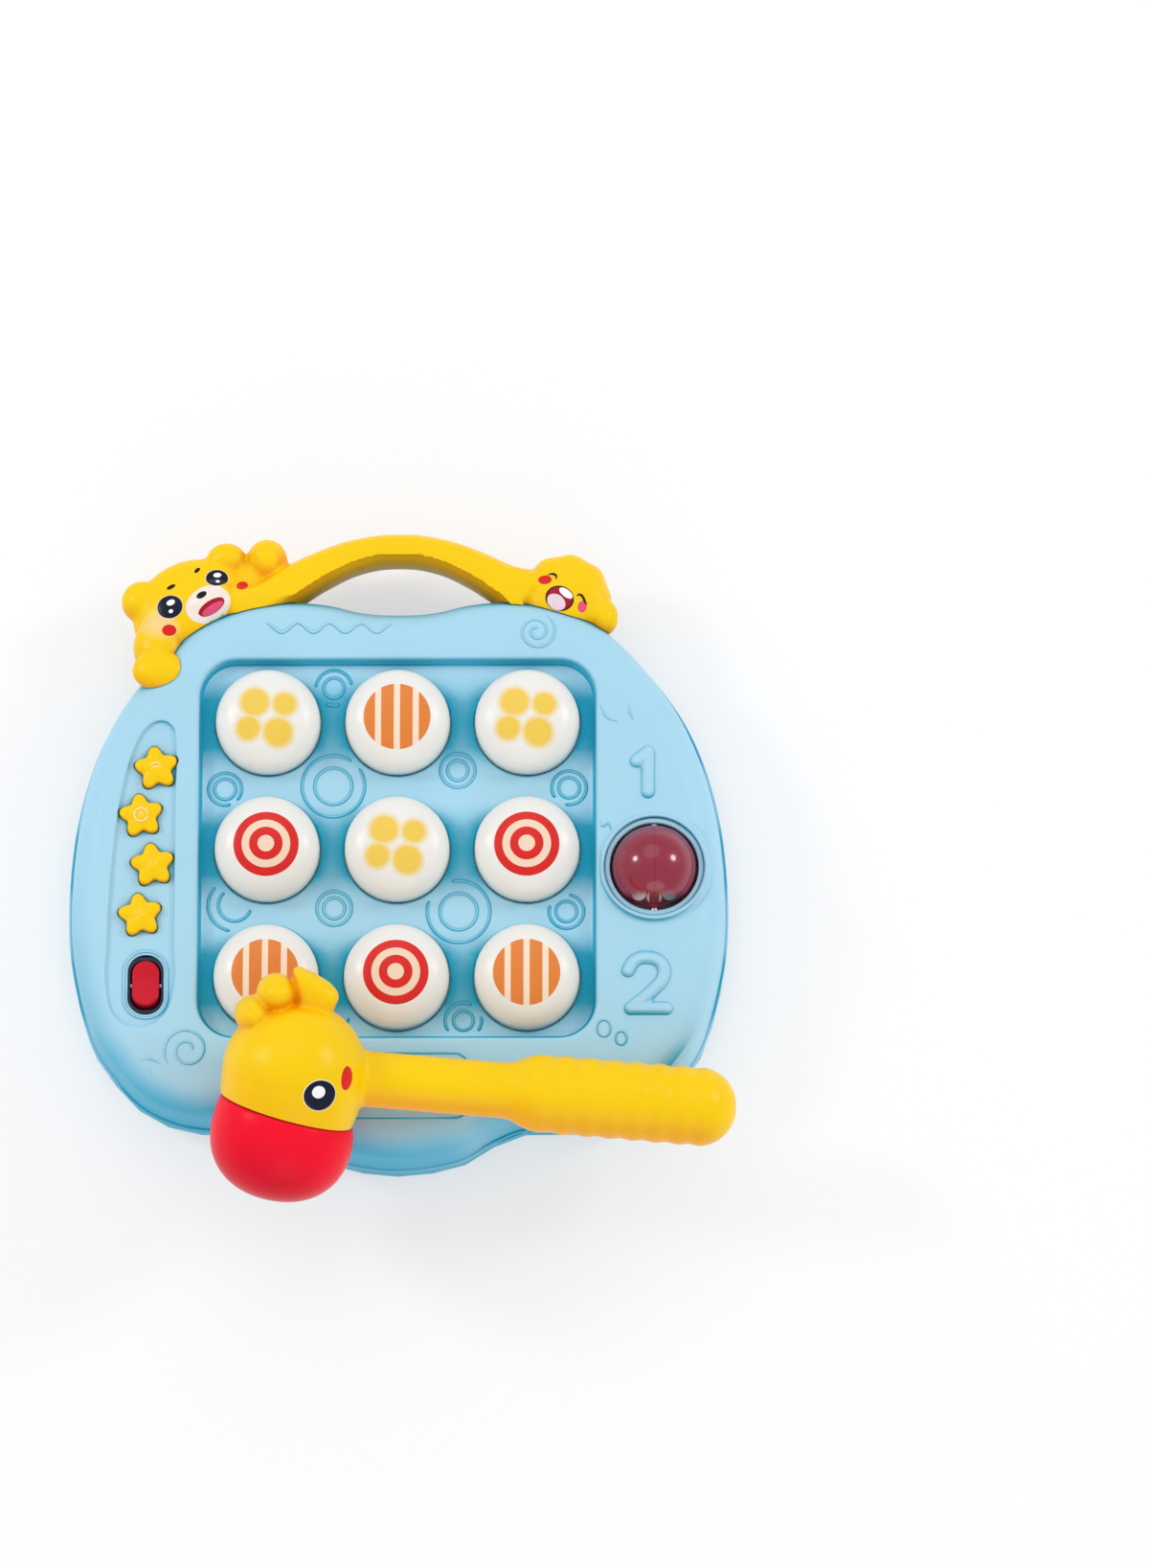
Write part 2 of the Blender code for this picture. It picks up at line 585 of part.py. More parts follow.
def build_front_shell(colour):
    levels = [(0, SEAM_Z), (0, SEAM_Z + LIP_HEIGHT), (LIP_WIDTH, SEAM_Z + LIP_HEIGHT)]
    shell = piece("front_shell", console_loft(levels + face_edge(0, EDGE_STEPS)), colour)

    collar = turned(
        ((0, COLLAR_BOTTOM_Z), (COLLAR_RADIUS, COLLAR_BOTTOM_Z), (COLLAR_RADIUS, FACE_Z + COLLAR_PROUD / 2),
         (COLLAR_RADIUS - COLLAR_WALL / 2, FACE_Z + COLLAR_PROUD), (0, FACE_Z + COLLAR_PROUD)), 20)
    join(shell, guide("collar_form", collar, (BALL_X, BALL_Y, 0)))

    inner = [(LIP_WIDTH + SHELL_WALL, SEAM_Z - OVERRUN)] + face_edge(-SHELL_WALL, 3)
    cavity = guide("front_cavity", console_loft(inner))
    solid = bmesh.new()
    add_prism(solid, recess_outline(SHELL_WALL), RECESS_BACK_Z, FACE_Z + OVERRUN)
    for x, y in screw_places():
        add_cylinder(solid, SCREW_BOSS_RADIUS, (x, y, SEAM_Z), (x, y, FACE_Z + OVERRUN), 10)
    cut(cavity, guide("front_solid", solid))
    collar_room = bmesh.new()
    start, end = ((BALL_X, BALL_Y, z) for z in (COLLAR_BOTTOM_Z, FACE_Z + OVERRUN))
    add_cylinder(collar_room, COLLAR_RADIUS, start, end, 20)
    cut(cavity, guide("collar_solid", collar_room))
    posts = bmesh.new()
    for x, y in post_places():
        add_cylinder(posts, POST_RADIUS, (x, y, BOARD_TOP_Z + CLEARANCE), (x, y, RECESS_Z), 8)
    for x, y in side_post_places():
        add_cylinder(posts, SIDE_POST_RADIUS, (x, y, side_board_top() + CLEARANCE), (x, y, FACE_Z), 8)
    cut(cavity, guide("front_posts", posts))
    cut(shell, cavity)

    openings = bmesh.new()
    add_prism(openings, recess_outline(), RECESS_Z, FACE_Z + OVERRUN)
    add_prism(openings, tray_outline(), TRAY_Z, FACE_Z + OVERRUN)
    cut(shell, guide("recess_cutter", openings))
    holes = bmesh.new()
    for x, y in dome_places():
        ring = circle(DOME_RADIUS + SLIDE_GAP, (x, y), DOME_SEGMENTS)
        add_prism(holes, ring, RECESS_BACK_Z - OVERRUN, RECESS_Z + OVERRUN)
    for x, y in star_places():
        outline = [(x + dx, y + dy) for dx, dy in star(STAR_RADIUS + STAR_GAP, STAR_TILT)]
        add_prism(holes, outline, PLATE_Z - OVERRUN, FACE_Z + OVERRUN)
    slot = rounded_box(
        ROCKER_SLOT_WIDTH, ROCKER_SLOT_LENGTH, SLOT_ROUND_SHARE * ROCKER_SLOT_WIDTH, (ROCKER_X, ROCKER_Y))
    add_prism(holes, slot, PLATE_Z - OVERRUN, FACE_Z + OVERRUN)
    low, high = ((BALL_X, BALL_Y, z) for z in (COLLAR_BOTTOM_Z - OVERRUN, FACE_Z + COLLAR_PROUD + OVERRUN))
    add_cylinder(holes, COLLAR_INNER_RADIUS, low, high, 20)
    for x, top, bottom in slot_places():
        low = (x - SLOT_WIDTH / 2, bottom, PLATE_Z - OVERRUN)
        add_box(holes, low, (x + SLOT_WIDTH / 2, top, FACE_Z + OVERRUN))
    for side in (-1, 1):
        low, high = tab_box(side, CLEARANCE)
        add_box(holes, low, high)
    for x, y in screw_places():
        tip = SCREW_SINK + SCREW_LENGTH + OVERRUN
        add_cylinder(holes, SCREW_RADIUS + CLEARANCE, (x, y, SEAM_Z - OVERRUN), (x, y, tip), 10)
    for x, y in post_places()[:2]:
        tip = BOARD_TOP_Z - BOARD_THICKNESS + BOARD_SCREW_LENGTH + CLEARANCE
        add_cylinder(holes, SCREW_RADIUS + CLEARANCE, (x, y, BOARD_TOP_Z - OVERRUN), (x, y, tip), 10)
    cut(shell, guide("hole_cutter", holes))


def build_back_shell(colour):
    top = SEAM_Z - CLEARANCE
    centre = (BACK_EDGE_RADIUS, BACK_EDGE_RADIUS)
    edge = arc(centre, BACK_EDGE_RADIUS, math.radians(270), math.pi, 2)
    shell = piece("back_shell", console_loft(edge + [(0, top)]), colour)
    inner_radius = BACK_EDGE_RADIUS - SHELL_WALL
    inner = arc(centre, inner_radius, math.radians(270), math.pi, 1)
    roof_z = WELL_TOP_Z + TUB_WALL / 2
    cavity = guide("back_cavity", console_loft(inner + [(SHELL_WALL, roof_z + OVERRUN)]))
    solid = bmesh.new()
    for x, y in screw_places():
        add_cylinder(solid, SCREW_BOSS_RADIUS, (x, y, 0), (x, y, top), 12)
    cut(cavity, guide("back_bosses", solid))
    cut(shell, cavity)

    tub = bmesh.new()
    middle = (0, BATTERY_Y)
    tub_outline = rounded_box(WELL_LENGTH + 2 * TUB_WALL, WELL_WIDTH + 2 * TUB_WALL, TUB_WALL, middle, 2)
    add_prism(tub, tub_outline, SHELL_WALL / 2, roof_z)
    join(shell, guide("battery_tub", tub))
    tab = bmesh.new()
    tab_y = door_screw_y()
    add_cylinder(tab, DOOR_TAB, (0, tab_y, SHELL_WALL / 2), (0, tab_y, door_boss_top()), 16)
    join(shell, guide("door_boss", tab))

    holes = bmesh.new()
    well_outline = rounded_box(WELL_LENGTH, WELL_WIDTH, DOOR_LEDGE / 2, middle, 2)
    add_prism(holes, well_outline, DOOR_THICKNESS / 2, WELL_TOP_Z)
    for x, y in screw_places():
        add_cylinder(holes, SCREW_HEAD_RADIUS + CLEARANCE, (x, y, -OVERRUN), (x, y, SCREW_SINK), 12)
    cut(shell, guide("back_wells", holes))
    recess = bmesh.new()
    add_prism(recess, door_outline(CLEARANCE), -OVERRUN, DOOR_THICKNESS + CLEARANCE)
    cut(shell, guide("door_recess", recess))
    bores = bmesh.new()
    bore_radius = SCREW_RADIUS + CLEARANCE
    for x, y in screw_places():
        add_cylinder(bores, bore_radius, (x, y, SCREW_SINK - OVERRUN), (x, y, SEAM_Z + OVERRUN), 10)
    add_cylinder(bores, bore_radius, (0, tab_y, 0), (0, tab_y, door_boss_top() - SHELL_WALL / 2), 10)
    cut(shell, guide("screw_bores", bores))


def door_screw_y():
    return BATTERY_Y + WELL_WIDTH / 2 + DOOR_LEDGE + DOOR_TAB / 2


def door_boss_top():
    return DOOR_THICKNESS + BOARD_SCREW_LENGTH + SHELL_WALL


def door_outline(grow):
    """A rounded rectangle with a round screw tab on the side nearer the handle."""
    half_length = DOOR_LENGTH / 2 + grow
    half_width = DOOR_WIDTH / 2 + grow
    radius = DOOR_LEDGE
    tab_radius = DOOR_TAB_ROUND_SHARE * DOOR_TAB + grow
    start = math.asin((DOOR_TAB / 2 - grow) / tab_radius)
    corners = []
    quarter = math.pi / 2
    for turn, (right, up) in enumerate(((1, 1), (-1, 1), (-1, -1), (1, -1))):
        corner = (right * (half_length - radius), BATTERY_Y + up * (half_width - radius))
        corners.append(arc(corner, radius, turn * quarter, (turn + 1) * quarter, 3))
    tab = arc((0, door_screw_y()), tab_radius, -start, math.pi + start, 10)
    return corners[0] + tab + corners[1] + corners[2] + corners[3]


def build_battery_box(door_colour, cell_colour, metal):
    door = bmesh.new()
    add_prism(door, door_outline(0), 0, DOOR_THICKNESS)
    door = piece("battery_door", door, door_colour)
    hole = bmesh.new()
    tab_y = door_screw_y()
    sink = DOOR_THICKNESS / 2
    low, high = ((0, tab_y, z) for z in (-OVERRUN, DOOR_THICKNESS + OVERRUN))
    add_cylinder(hole, SCREW_RADIUS + CLEARANCE, low, high, 10)
    cut(door, guide("door_bore", hole))
    sinker = bmesh.new()
    add_cylinder(sinker, SCREW_HEAD_RADIUS + CLEARANCE, (0, tab_y, -OVERRUN), (0, tab_y, sink), 12)
    cut(door, guide("door_sink", sinker))
    short = screw(SCREW_RADIUS, BOARD_SCREW_LENGTH, SCREW_HEAD_RADIUS, sink - 2 * CLEARANCE)
    piece("battery_door_screw", short, metal, (0, tab_y, sink - CLEARANCE))

    left = -WELL_LENGTH / 2
    for index in range(BATTERY_COUNT):
        y = BATTERY_Y + (index - (BATTERY_COUNT - 1) / 2) * BATTERY_PITCH
        profile = (
            (0, 0), (BATTERY_RADIUS, 0), (BATTERY_RADIUS, BATTERY_LENGTH),
            (BATTERY_NUB_RADIUS, BATTERY_LENGTH), (BATTERY_NUB_RADIUS, BATTERY_LENGTH + BATTERY_NUB),
            (0, BATTERY_LENGTH + BATTERY_NUB))
        along_x = Matrix.Rotation(math.pi / 2, 4, "Y")
        start = (left + CONTACT_THICKNESS + 2 * CLEARANCE, y, BATTERY_Z)
        piece(f"battery_{index + 1}", turned(profile, 14, along_x), cell_colour, start)
    for name, x in (("left", left + CLEARANCE), ("right", -left - CLEARANCE - CONTACT_THICKNESS)):
        plate = bmesh.new()
        half = BATTERY_PITCH * BATTERY_COUNT / 2 - CLEARANCE
        low = (x, BATTERY_Y - half, BATTERY_Z - CONTACT_HEIGHT / 2)
        add_box(plate, low, (x + CONTACT_THICKNESS, BATTERY_Y + half, BATTERY_Z + CONTACT_HEIGHT / 2))
        piece(f"battery_contact_{name}", plate, metal)


def build_shell_screws(metal):
    for index, (x, y) in enumerate(screw_places()):
        part = screw(SCREW_RADIUS, SCREW_LENGTH, SCREW_HEAD_RADIUS, SCREW_HEAD_HEIGHT)
        piece(f"shell_screw_{index + 1}", part, metal, (x, y, SCREW_SINK - CLEARANCE))


def build_boards(board_colour, metal, rubber):
    board = bmesh.new()
    width = RECESS_WIDTH - 2 * BOARD_INSET
    height = RECESS_HEIGHT - 2 * BOARD_INSET
    bottom = BOARD_TOP_Z - BOARD_THICKNESS
    outline = rounded_box(width, height, RECESS_RADIUS / 2, (0, RECESS_Y), 3)
    add_prism(board, outline, bottom, BOARD_TOP_Z)
    board = piece("main_board", board, board_colour)
    lamps = bmesh.new()
    for x, y in dome_places():
        spot = (x + LED_OFFSET, y)
        low = (*spot, bottom + BOARD_THICKNESS / 2)
        add_cylinder(lamps, LED_RADIUS, low, (*spot, BOARD_TOP_Z + LED_HEIGHT), 8)
    join(board, guide("led_forms", lamps))
    holes = bmesh.new()
    for x, y in post_places()[:2]:
        low = (x, y, bottom - OVERRUN)
        add_cylinder(holes, SCREW_RADIUS + CLEARANCE, low, (x, y, BOARD_TOP_Z + OVERRUN), 10)
    cut(board, guide("board_holes", holes))
    for index, (x, y) in enumerate(post_places()[:2]):
        part = screw(SCREW_RADIUS, BOARD_SCREW_LENGTH, SCREW_HEAD_RADIUS, SCREW_HEAD_HEIGHT)
        piece(f"board_screw_{index + 1}", part, metal, (x, y, bottom - CLEARANCE))

    wall = RETURN_DOME_WALL
    height = RETURN_DOME_HEIGHT
    neck = PLUNGER_RADIUS + wall
    profile = (
        (RETURN_DOME_RADIUS - wall, 0), (RETURN_DOME_RADIUS, 0), (neck, height - wall), (neck, height),
        (0, height), (0, height - wall), (neck - wall, height - wall - CLEARANCE))
    for index, (x, y) in enumerate(dome_places()):
        bm = turned(profile, 8)
        piece(f"return_dome_{index + 1}", bm, rubber, (x, y, BOARD_TOP_Z + CLEARANCE))


def build_mole_buttons(white):
    outer = DOME_RADIUS
    inner = DOME_RADIUS - DOME_WALL
    skirt = RECESS_Z - DOME_REST_Z + DOME_SKIRT
    flange = DOME_RADIUS + SLIDE_GAP + DOME_FLANGE_WIDTH
    crown = arc((0, 0), 1, 0, math.pi / 2, 3)
    profile = [(inner, -DOME_FLANGE_THICKNESS), (flange, -DOME_FLANGE_THICKNESS), (flange, 0), (outer, 0)]
    profile += [(outer * x, skirt + DOME_CROWN * y) for x, y in crown[:-1]] + [(0, skirt + DOME_CROWN)]
    stem_z = PLUNGER_Z - DOME_REST_Z
    hollow = DOME_CROWN - DOME_WALL
    profile += [(0, stem_z), (PLUNGER_RADIUS, stem_z), (PLUNGER_RADIUS, skirt + STEM_ROOT_SHARE * hollow)]
    profile += [(inner * x, skirt + hollow * y) for x, y in arc((0, 0), 1, math.pi / 4, 0, 1)]
    bm = turned(profile, DOME_SEGMENTS)
    shared = None
    for index, (x, y) in enumerate(dome_places()):
        place = (x, y, DOME_REST_Z)
        if shared is None:
            first = piece("mole_button_1", bm, white, place)
            shared = first.data
            continue
        made = bpy.data.objects.new(f"mole_button_{index + 1}", shared)
        bpy.context.collection.objects.link(made)
        made.location = place


def side_board_top():
    keypad = KEYPAD_THICKNESS + PAD_BUMP_HEIGHT
    return STAR_REST_Z - STAR_FLANGE_THICKNESS - STAR_TRAVEL - keypad - 2 * CLEARANCE


def side_post_places():
    """Two posts that carry the side board, past the first and the last star."""
    places = star_places()
    reach = STAR_RADIUS + STAR_FLANGE_WIDTH + SLIDE_GAP + SIDE_POST_RADIUS
    x = sum(place[0] for place in places) / len(places)
    return [(x, places[0][1] + reach), (x, places[-1][1] - reach)]


def build_star_buttons(yellow, rubber, board_colour):
    places = star_places()
    bottom = -STAR_FLANGE_THICKNESS
    top = TRAY_Z + STAR_PROUD - STAR_REST_Z
    outline = star(STAR_RADIUS, STAR_TILT)
    flange = [Vector(point).normalized() * (STAR_RADIUS + STAR_FLANGE_WIDTH) for point in outline]
    crown = star(STAR_RADIUS - STAR_BEVEL, STAR_TILT)
    levels = (
        (flange, bottom), (flange, 0), (outline, 0), (outline, top - STAR_BEVEL), (crown, top))
    for index, (x, y) in enumerate(places):
        bm = bmesh.new()
        add_loft(bm, [[(*point, height) for point in ring] for ring, height in levels])
        piece(f"star_button_{index + 1}", bm, yellow, (x, y, STAR_REST_Z))

    board_top = side_board_top()
    x = sum(place[0] for place in places) / len(places)
    high = places[0][1] + KEYPAD_MARGIN
    low = places[-1][1] - KEYPAD_MARGIN
    pad_bottom = board_top + CLEARANCE
    pad = bmesh.new()
    middle = (x, (high + low) / 2)
    pad_outline = rounded_box(KEYPAD_WIDTH, high - low, KEYPAD_WIDTH / 5, middle, 3)
    add_prism(pad, pad_outline, pad_bottom, pad_bottom + KEYPAD_THICKNESS)
    pad = piece("star_keypad", pad, rubber)
    bumps = bmesh.new()
    for spot in places:
        start = pad_bottom + KEYPAD_THICKNESS / 2
        end = pad_bottom + KEYPAD_THICKNESS + PAD_BUMP_HEIGHT
        add_cylinder(bumps, PAD_BUMP_RADIUS, (*spot, start), (*spot, end), 12)
    join(pad, guide("keypad_bumps", bumps))
    board = bmesh.new()
    posts = side_post_places()
    length = posts[0][1] - posts[1][1] + 2 * (SIDE_POST_RADIUS + SIDE_BOARD_MARGIN)
    board_outline = rounded_box(KEYPAD_WIDTH, length, KEYPAD_WIDTH / 5, middle, 3)
    add_prism(board, board_outline, board_top - BOARD_THICKNESS, board_top)
    piece("side_board", board, board_colour)


def build_rocker(red, dark, metal):
    centre = (ROCKER_X, ROCKER_Y, ROCKER_Z)
    half_width = ROCKER_WIDTH / 2
    half_length = ROCKER_LENGTH / 2
    bm = bmesh.new()
    round_radius = ROCKER_ROUND_SHARE * half_width
    outline = rounded_box(ROCKER_WIDTH, ROCKER_LENGTH, round_radius, steps=6)
    add_prism(bm, outline, -ROCKER_BOTTOM, ROCKER_TOP)
    rocker = piece("rocker_button", bm, red, centre)
    rocker.rotation_euler.x = -ROCKER_TILT
    dish = bmesh.new()
    far_end = half_length + OVERRUN
    end_top = ROCKER_TOP + ROCKER_DISH * OVERRUN / half_length
    side = [
        (-far_end, end_top), (0, ROCKER_TOP - ROCKER_DISH), (far_end, end_top),
        (0, ROCKER_TOP + 3 * OVERRUN)]
    add_loft(dish, [[(x, y, z) for y, z in side] for x in (-half_width - OVERRUN, half_width + OVERRUN)])
    add_cylinder(
        dish, PIN_RADIUS + CLEARANCE, (-half_width - OVERRUN, 0, 0), (half_width + OVERRUN, 0, 0), 10)
    cut(rocker, guide("rocker_cutter", dish, parent=rocker))

    width = ROCKER_WIDTH + 2 * (SWITCH_POCKET_GAP + SWITCH_WALL)
    length = ROCKER_LENGTH + 2 * (SWITCH_POCKET_GAP + SWITCH_WALL)
    pocket_depth = ROCKER_BOTTOM + half_length * math.sin(ROCKER_TILT) + SLIDE_GAP
    top = PLATE_Z - CLEARANCE - ROCKER_Z
    body = bmesh.new()
    add_prism(body, rounded_box(width, length, SWITCH_WALL, steps=2), -pocket_depth - SWITCH_BED, top)
    body = piece("switch_body", body, dark, centre)
    pocket = bmesh.new()
    inner = rounded_box(width - 2 * SWITCH_WALL, length - 2 * SWITCH_WALL, round_radius, steps=6)
    add_prism(pocket, inner, -pocket_depth, top + OVERRUN)
    cut(body, guide("switch_pocket", pocket, centre))
    bore = bmesh.new()
    reach = width / 2 + OVERRUN
    add_cylinder(bore, PIN_RADIUS + CLEARANCE, (-reach, 0, 0), (reach, 0, 0), 10)
    cut(body, guide("switch_bore", bore, centre))
    pin = bmesh.new()
    add_cylinder(pin, PIN_RADIUS, (-width / 2, 0, 0), (width / 2, 0, 0), 10)
    piece("rocker_pin", pin, metal, centre)


def build_rattle_ball(clear_red, bead_colours, metal, blue):
    centre = (BALL_X, BALL_Y, BALL_Z)
    inner = BALL_RADIUS - BALL_WALL
    seam = CLEARANCE / 2
    outer_start = math.asin(seam / BALL_RADIUS)
    inner_start = math.asin(seam / inner)
    profile = arc((0, 0), BALL_RADIUS, outer_start, math.pi / 2, 4)[:-1] + [(0, BALL_RADIUS), (0, inner)]
    profile += arc((0, 0), inner, math.pi / 2, inner_start, 3)[1:]
    axle_hole = bmesh.new()
    add_cylinder(
        axle_hole, AXLE_RADIUS + CLEARANCE, (0, -BALL_RADIUS - OVERRUN, 0), (0, BALL_RADIUS + OVERRUN, 0), 12)
    axle_hole = guide("ball_bore", axle_hole, centre)
    for name, side in (("left", -1), ("right", 1)):
        bm = turned(profile, 16)
        bmesh.ops.transform(bm, matrix=Matrix.Rotation(side * math.pi / 2, 4, "Y"), verts=bm.verts)
        half = piece(f"rattle_ball_{name}", bm, clear_red, centre)
        cut(half, axle_hole)

    axle = bmesh.new()
    reach = CUP_RADIUS - CLEARANCE
    add_cylinder(axle, AXLE_RADIUS, (0, -reach, 0), (0, reach, 0), 12)
    piece("ball_axle", axle, metal, centre)

    reach = inner - BEAD_RADIUS - CLEARANCE
    for index, colour in enumerate(bead_colours):
        x = (index - 1) * BEAD_PITCH
        ring = math.sqrt(reach ** 2 - x ** 2)
        bm = bmesh.new()
        bmesh.ops.create_icosphere(bm, subdivisions=2, radius=BEAD_RADIUS)
        place = (BALL_X + x, BALL_Y - ring * math.cos(BEAD_ANGLE), BALL_Z - ring * math.sin(BEAD_ANGLE))
        piece(f"bead_{index + 1}", bm, colour, place)

    floor = -BALL_RADIUS - CUP_GAP
    flange_z = COLLAR_BOTTOM_Z - CLEARANCE - BALL_Z
    profile = (
        (0, floor - CUP_FLOOR), (CUP_RADIUS, floor - CUP_FLOOR), (CUP_RADIUS, flange_z - CUP_FLANGE),
        (COLLAR_RADIUS, flange_z - CUP_FLANGE), (COLLAR_RADIUS, flange_z), (CUP_RADIUS, flange_z),
        (CUP_RADIUS, BALL_RISE + CUP_PROUD), (CUP_INNER_RADIUS, BALL_RISE + CUP_PROUD),
        (CUP_INNER_RADIUS, floor), (0, floor))
    cup = piece("ball_socket", turned(profile, 20), blue, centre)
    bore = bmesh.new()
    add_cylinder(
        bore, AXLE_RADIUS + CLEARANCE, (0, -CUP_RADIUS - OVERRUN, 0), (0, CUP_RADIUS + OVERRUN, 0), 12)
    cut(cup, guide("cup_bore", bore, centre))


def build_speaker(dark):
    rim_top = PLATE_Z - CLEARANCE
    rim_bottom = rim_top - SPEAKER_RIM
    waist = rim_bottom - SPEAKER_BASKET
    back = waist - MAGNET_HEIGHT
    lip = SPEAKER_RADIUS - SPEAKER_RIM
    profile = (
        (0, back), (MAGNET_RADIUS, back), (MAGNET_RADIUS, waist), (SPEAKER_RADIUS - SPEAKER_RIM, rim_bottom),
        (SPEAKER_RADIUS, rim_bottom), (SPEAKER_RADIUS, rim_top), (lip, rim_top),
        (MAGNET_RADIUS / 3, waist + SPEAKER_RIM), (0, waist + SPEAKER_RIM))
    piece("speaker", turned(profile, 18), dark, (0, SPEAKER_Y, 0))


def tab_box(side, grow):
    """The tongue of the handle that reaches through the shell's top wall."""
    wall_y = top_wall_y()
    inner_y = wall_y - SHELL_WALL - LIP_WIDTH - SIDE_DRAFT - TAB_REACH
    low_z = HANDLE_Z - CLEARANCE - TAB_DROP
    x = side * TAB_X
    low = (x - TAB_WIDTH / 2 - grow, inner_y - grow, low_z - grow)
    high = (x + TAB_WIDTH / 2 + grow, wall_y + TAB_REACH, low_z + TAB_HEIGHT + grow)
    return low, high


def top_wall_y():
    """How far the top of the outline reaches at the tongues."""
    near = sorted(OUTLINE, key=lambda point: abs(point.x - TAB_X) + (0 if point.y > 0 else CONSOLE_WIDTH))
    return near[0].y


def arch_section(middle, along, half_width, half_depth):
    """A ring of the handle's arch, square to its path."""
    across = Vector((-along.y, along.x)).normalized()
    ring = []
    for x, z in circle(1, points=10):
        width = math.copysign(abs(x) ** HANDLE_SQUARE_POWER, x) * half_width
        depth = math.copysign(abs(z) ** HANDLE_SQUARE_POWER, z) * half_depth
        ring.append((middle.x + across.x * width, middle.y + across.y * width, HANDLE_Z + depth))
    return ring


def add_arch(bm, grow, trim):
    """The arch's body along its path. Grow moves its skin, and trim leaves out spans at both ends."""
    points = [(x * HANDLE_SPAN, HANDLE_TOP_Y - y * HANDLE_RISE) for x, y in HANDLE_ARCH_SHARES]
    path = smooth_curve(points, 2, False)
    half_width = HANDLE_SECTION_WIDTH / 2 + grow
    half_depth = HANDLE_SECTION_DEPTH / 2 + grow
    rings = []
    for index in range(trim, len(path) - trim):
        along = path[min(index + 1, len(path) - 1)] - path[max(index - 1, 0)]
        rings.append(arch_section(path[index], along, half_width, half_depth))
    add_loft(bm, rings)


def add_mane(bm, radius, half_depth):
    """A scalloped cushion, the lion's mane and head in one."""
    rings = []
    for width, height in arc((0, 0), 1, -math.pi / 2, math.pi / 2, 6):
        width = max(width, LION_POLE_SHARE) ** LION_ROUND_POWER
        z = HEAD_Z + height * half_depth
        ring = []
        for index in range(4 * LION_SCALLOPS):
            angle = math.tau * index / (4 * LION_SCALLOPS)
            reach = radius * width * (1 + LION_SCALLOP_SHARE * math.cos(LION_SCALLOPS * angle))
            ring.append((LION_X + reach * math.cos(angle), LION_Y + reach * math.sin(angle), z))
        rings.append(ring)
    add_loft(bm, rings)


def animal_balls():
    """Name, place, half sizes and turn of each round form of the two animals, worked out from their heads."""
    deep = HEAD_HALF_DEPTH
    forms = []
    for group, radius, x, y, shares in (
            ("bear", BEAR_RADIUS, BEAR_X, BEAR_Y, BEAR_FORM_SHARES),
            ("lion", LION_RADIUS, LION_X, LION_Y, LION_FORM_SHARES)):
        for name, place, flat, thick in shares:
            spot = (x + place[0] * radius, y + place[1] * radius, HEAD_Z + place[2] * deep)
            turn = BEAR_TILT if name in ("head", "snout") else 0
            forms.append((f"{group}_{name}", spot, (flat[0] * radius, flat[1] * radius, thick * deep), turn))
    return forms


def build_handle(yellow):
    form = bmesh.new()
    add_arch(form, 0, 0)
    form = guide("handle_form", form)
    mane = bmesh.new()
    add_mane(mane, LION_RADIUS, HEAD_HALF_DEPTH)
    join(form, guide("lion_form", mane))
    for name, spot, radii, turn in animal_balls():
        segments = 18 if radii[0] >= BEAR_RADIUS else 10
        join(form, guide(name, ball(radii, segments, 6, turn), spot))
    inner = bmesh.new()
    add_arch(inner, -HANDLE_WALL, 1)
    cut(form, guide("handle_hollow", inner))
    around = [(-CLEARANCE, -OVERRUN), (-CLEARANCE, SEAM_Z + LIP_HEIGHT + CLEARANCE)]
    around.append((LIP_WIDTH - CLEARANCE, SEAM_Z + LIP_HEIGHT + CLEARANCE))
    cut(form, guide("console_room", console_loft(around + face_edge(CLEARANCE, EDGE_STEPS))))
    tabs = bmesh.new()
    for side in (-1, 1):
        low, high = tab_box(side, 0)
        add_box(tabs, low, high)
    join(form, guide("handle_tabs", tabs))
    reach = CONSOLE_WIDTH + CONSOLE_HEIGHT
    gap = CLEARANCE / 2
    for name, low, high in (("front", HANDLE_Z + gap, reach), ("rear", -reach, HANDLE_Z - gap)):
        bm = bmesh.new()
        add_box(bm, (-reach, 0, low), (reach, reach, high))
        half = piece(f"handle_{name}", bm, yellow)
        shape_with(half, form, "INTERSECT")


def edge_line():
    """The line that the face's round edge is rolled along, at one edge radius under the face."""
    return inset(LIP_WIDTH + SIDE_DRAFT + EDGE_RADIUS)


def inside(point, ring):
    crossings = 0
    for start, end in zip(ring, ring[1:] + ring[:1]):
        if (start.y > point.y) != (end.y > point.y):
            share = (point.y - start.y) / (end.y - start.y)
            crossings += start.x + share * (end.x - start.x) > point.x
    return crossings % 2 == 1


def rest_height(point, radius):
    """Lowest height of a ball's middle over the console, or None where it misses the console."""
    ring = edge_line()
    if inside(point, ring):
        return FACE_Z + radius + CLEARANCE
    away = min(distance_to_line(point, start, end) for start, end in zip(ring, ring[1:] + ring[:1]))
    reach = EDGE_RADIUS + radius + CLEARANCE
    if away >= reach:
        return None
    return FACE_Z - EDGE_RADIUS + math.sqrt(reach ** 2 - away ** 2)


def distance_to_line(point, start, end):
    along = end - start
    share = min(max((point - start).dot(along) / along.length_squared, 0), 1)
    return (start + along * share - point).length


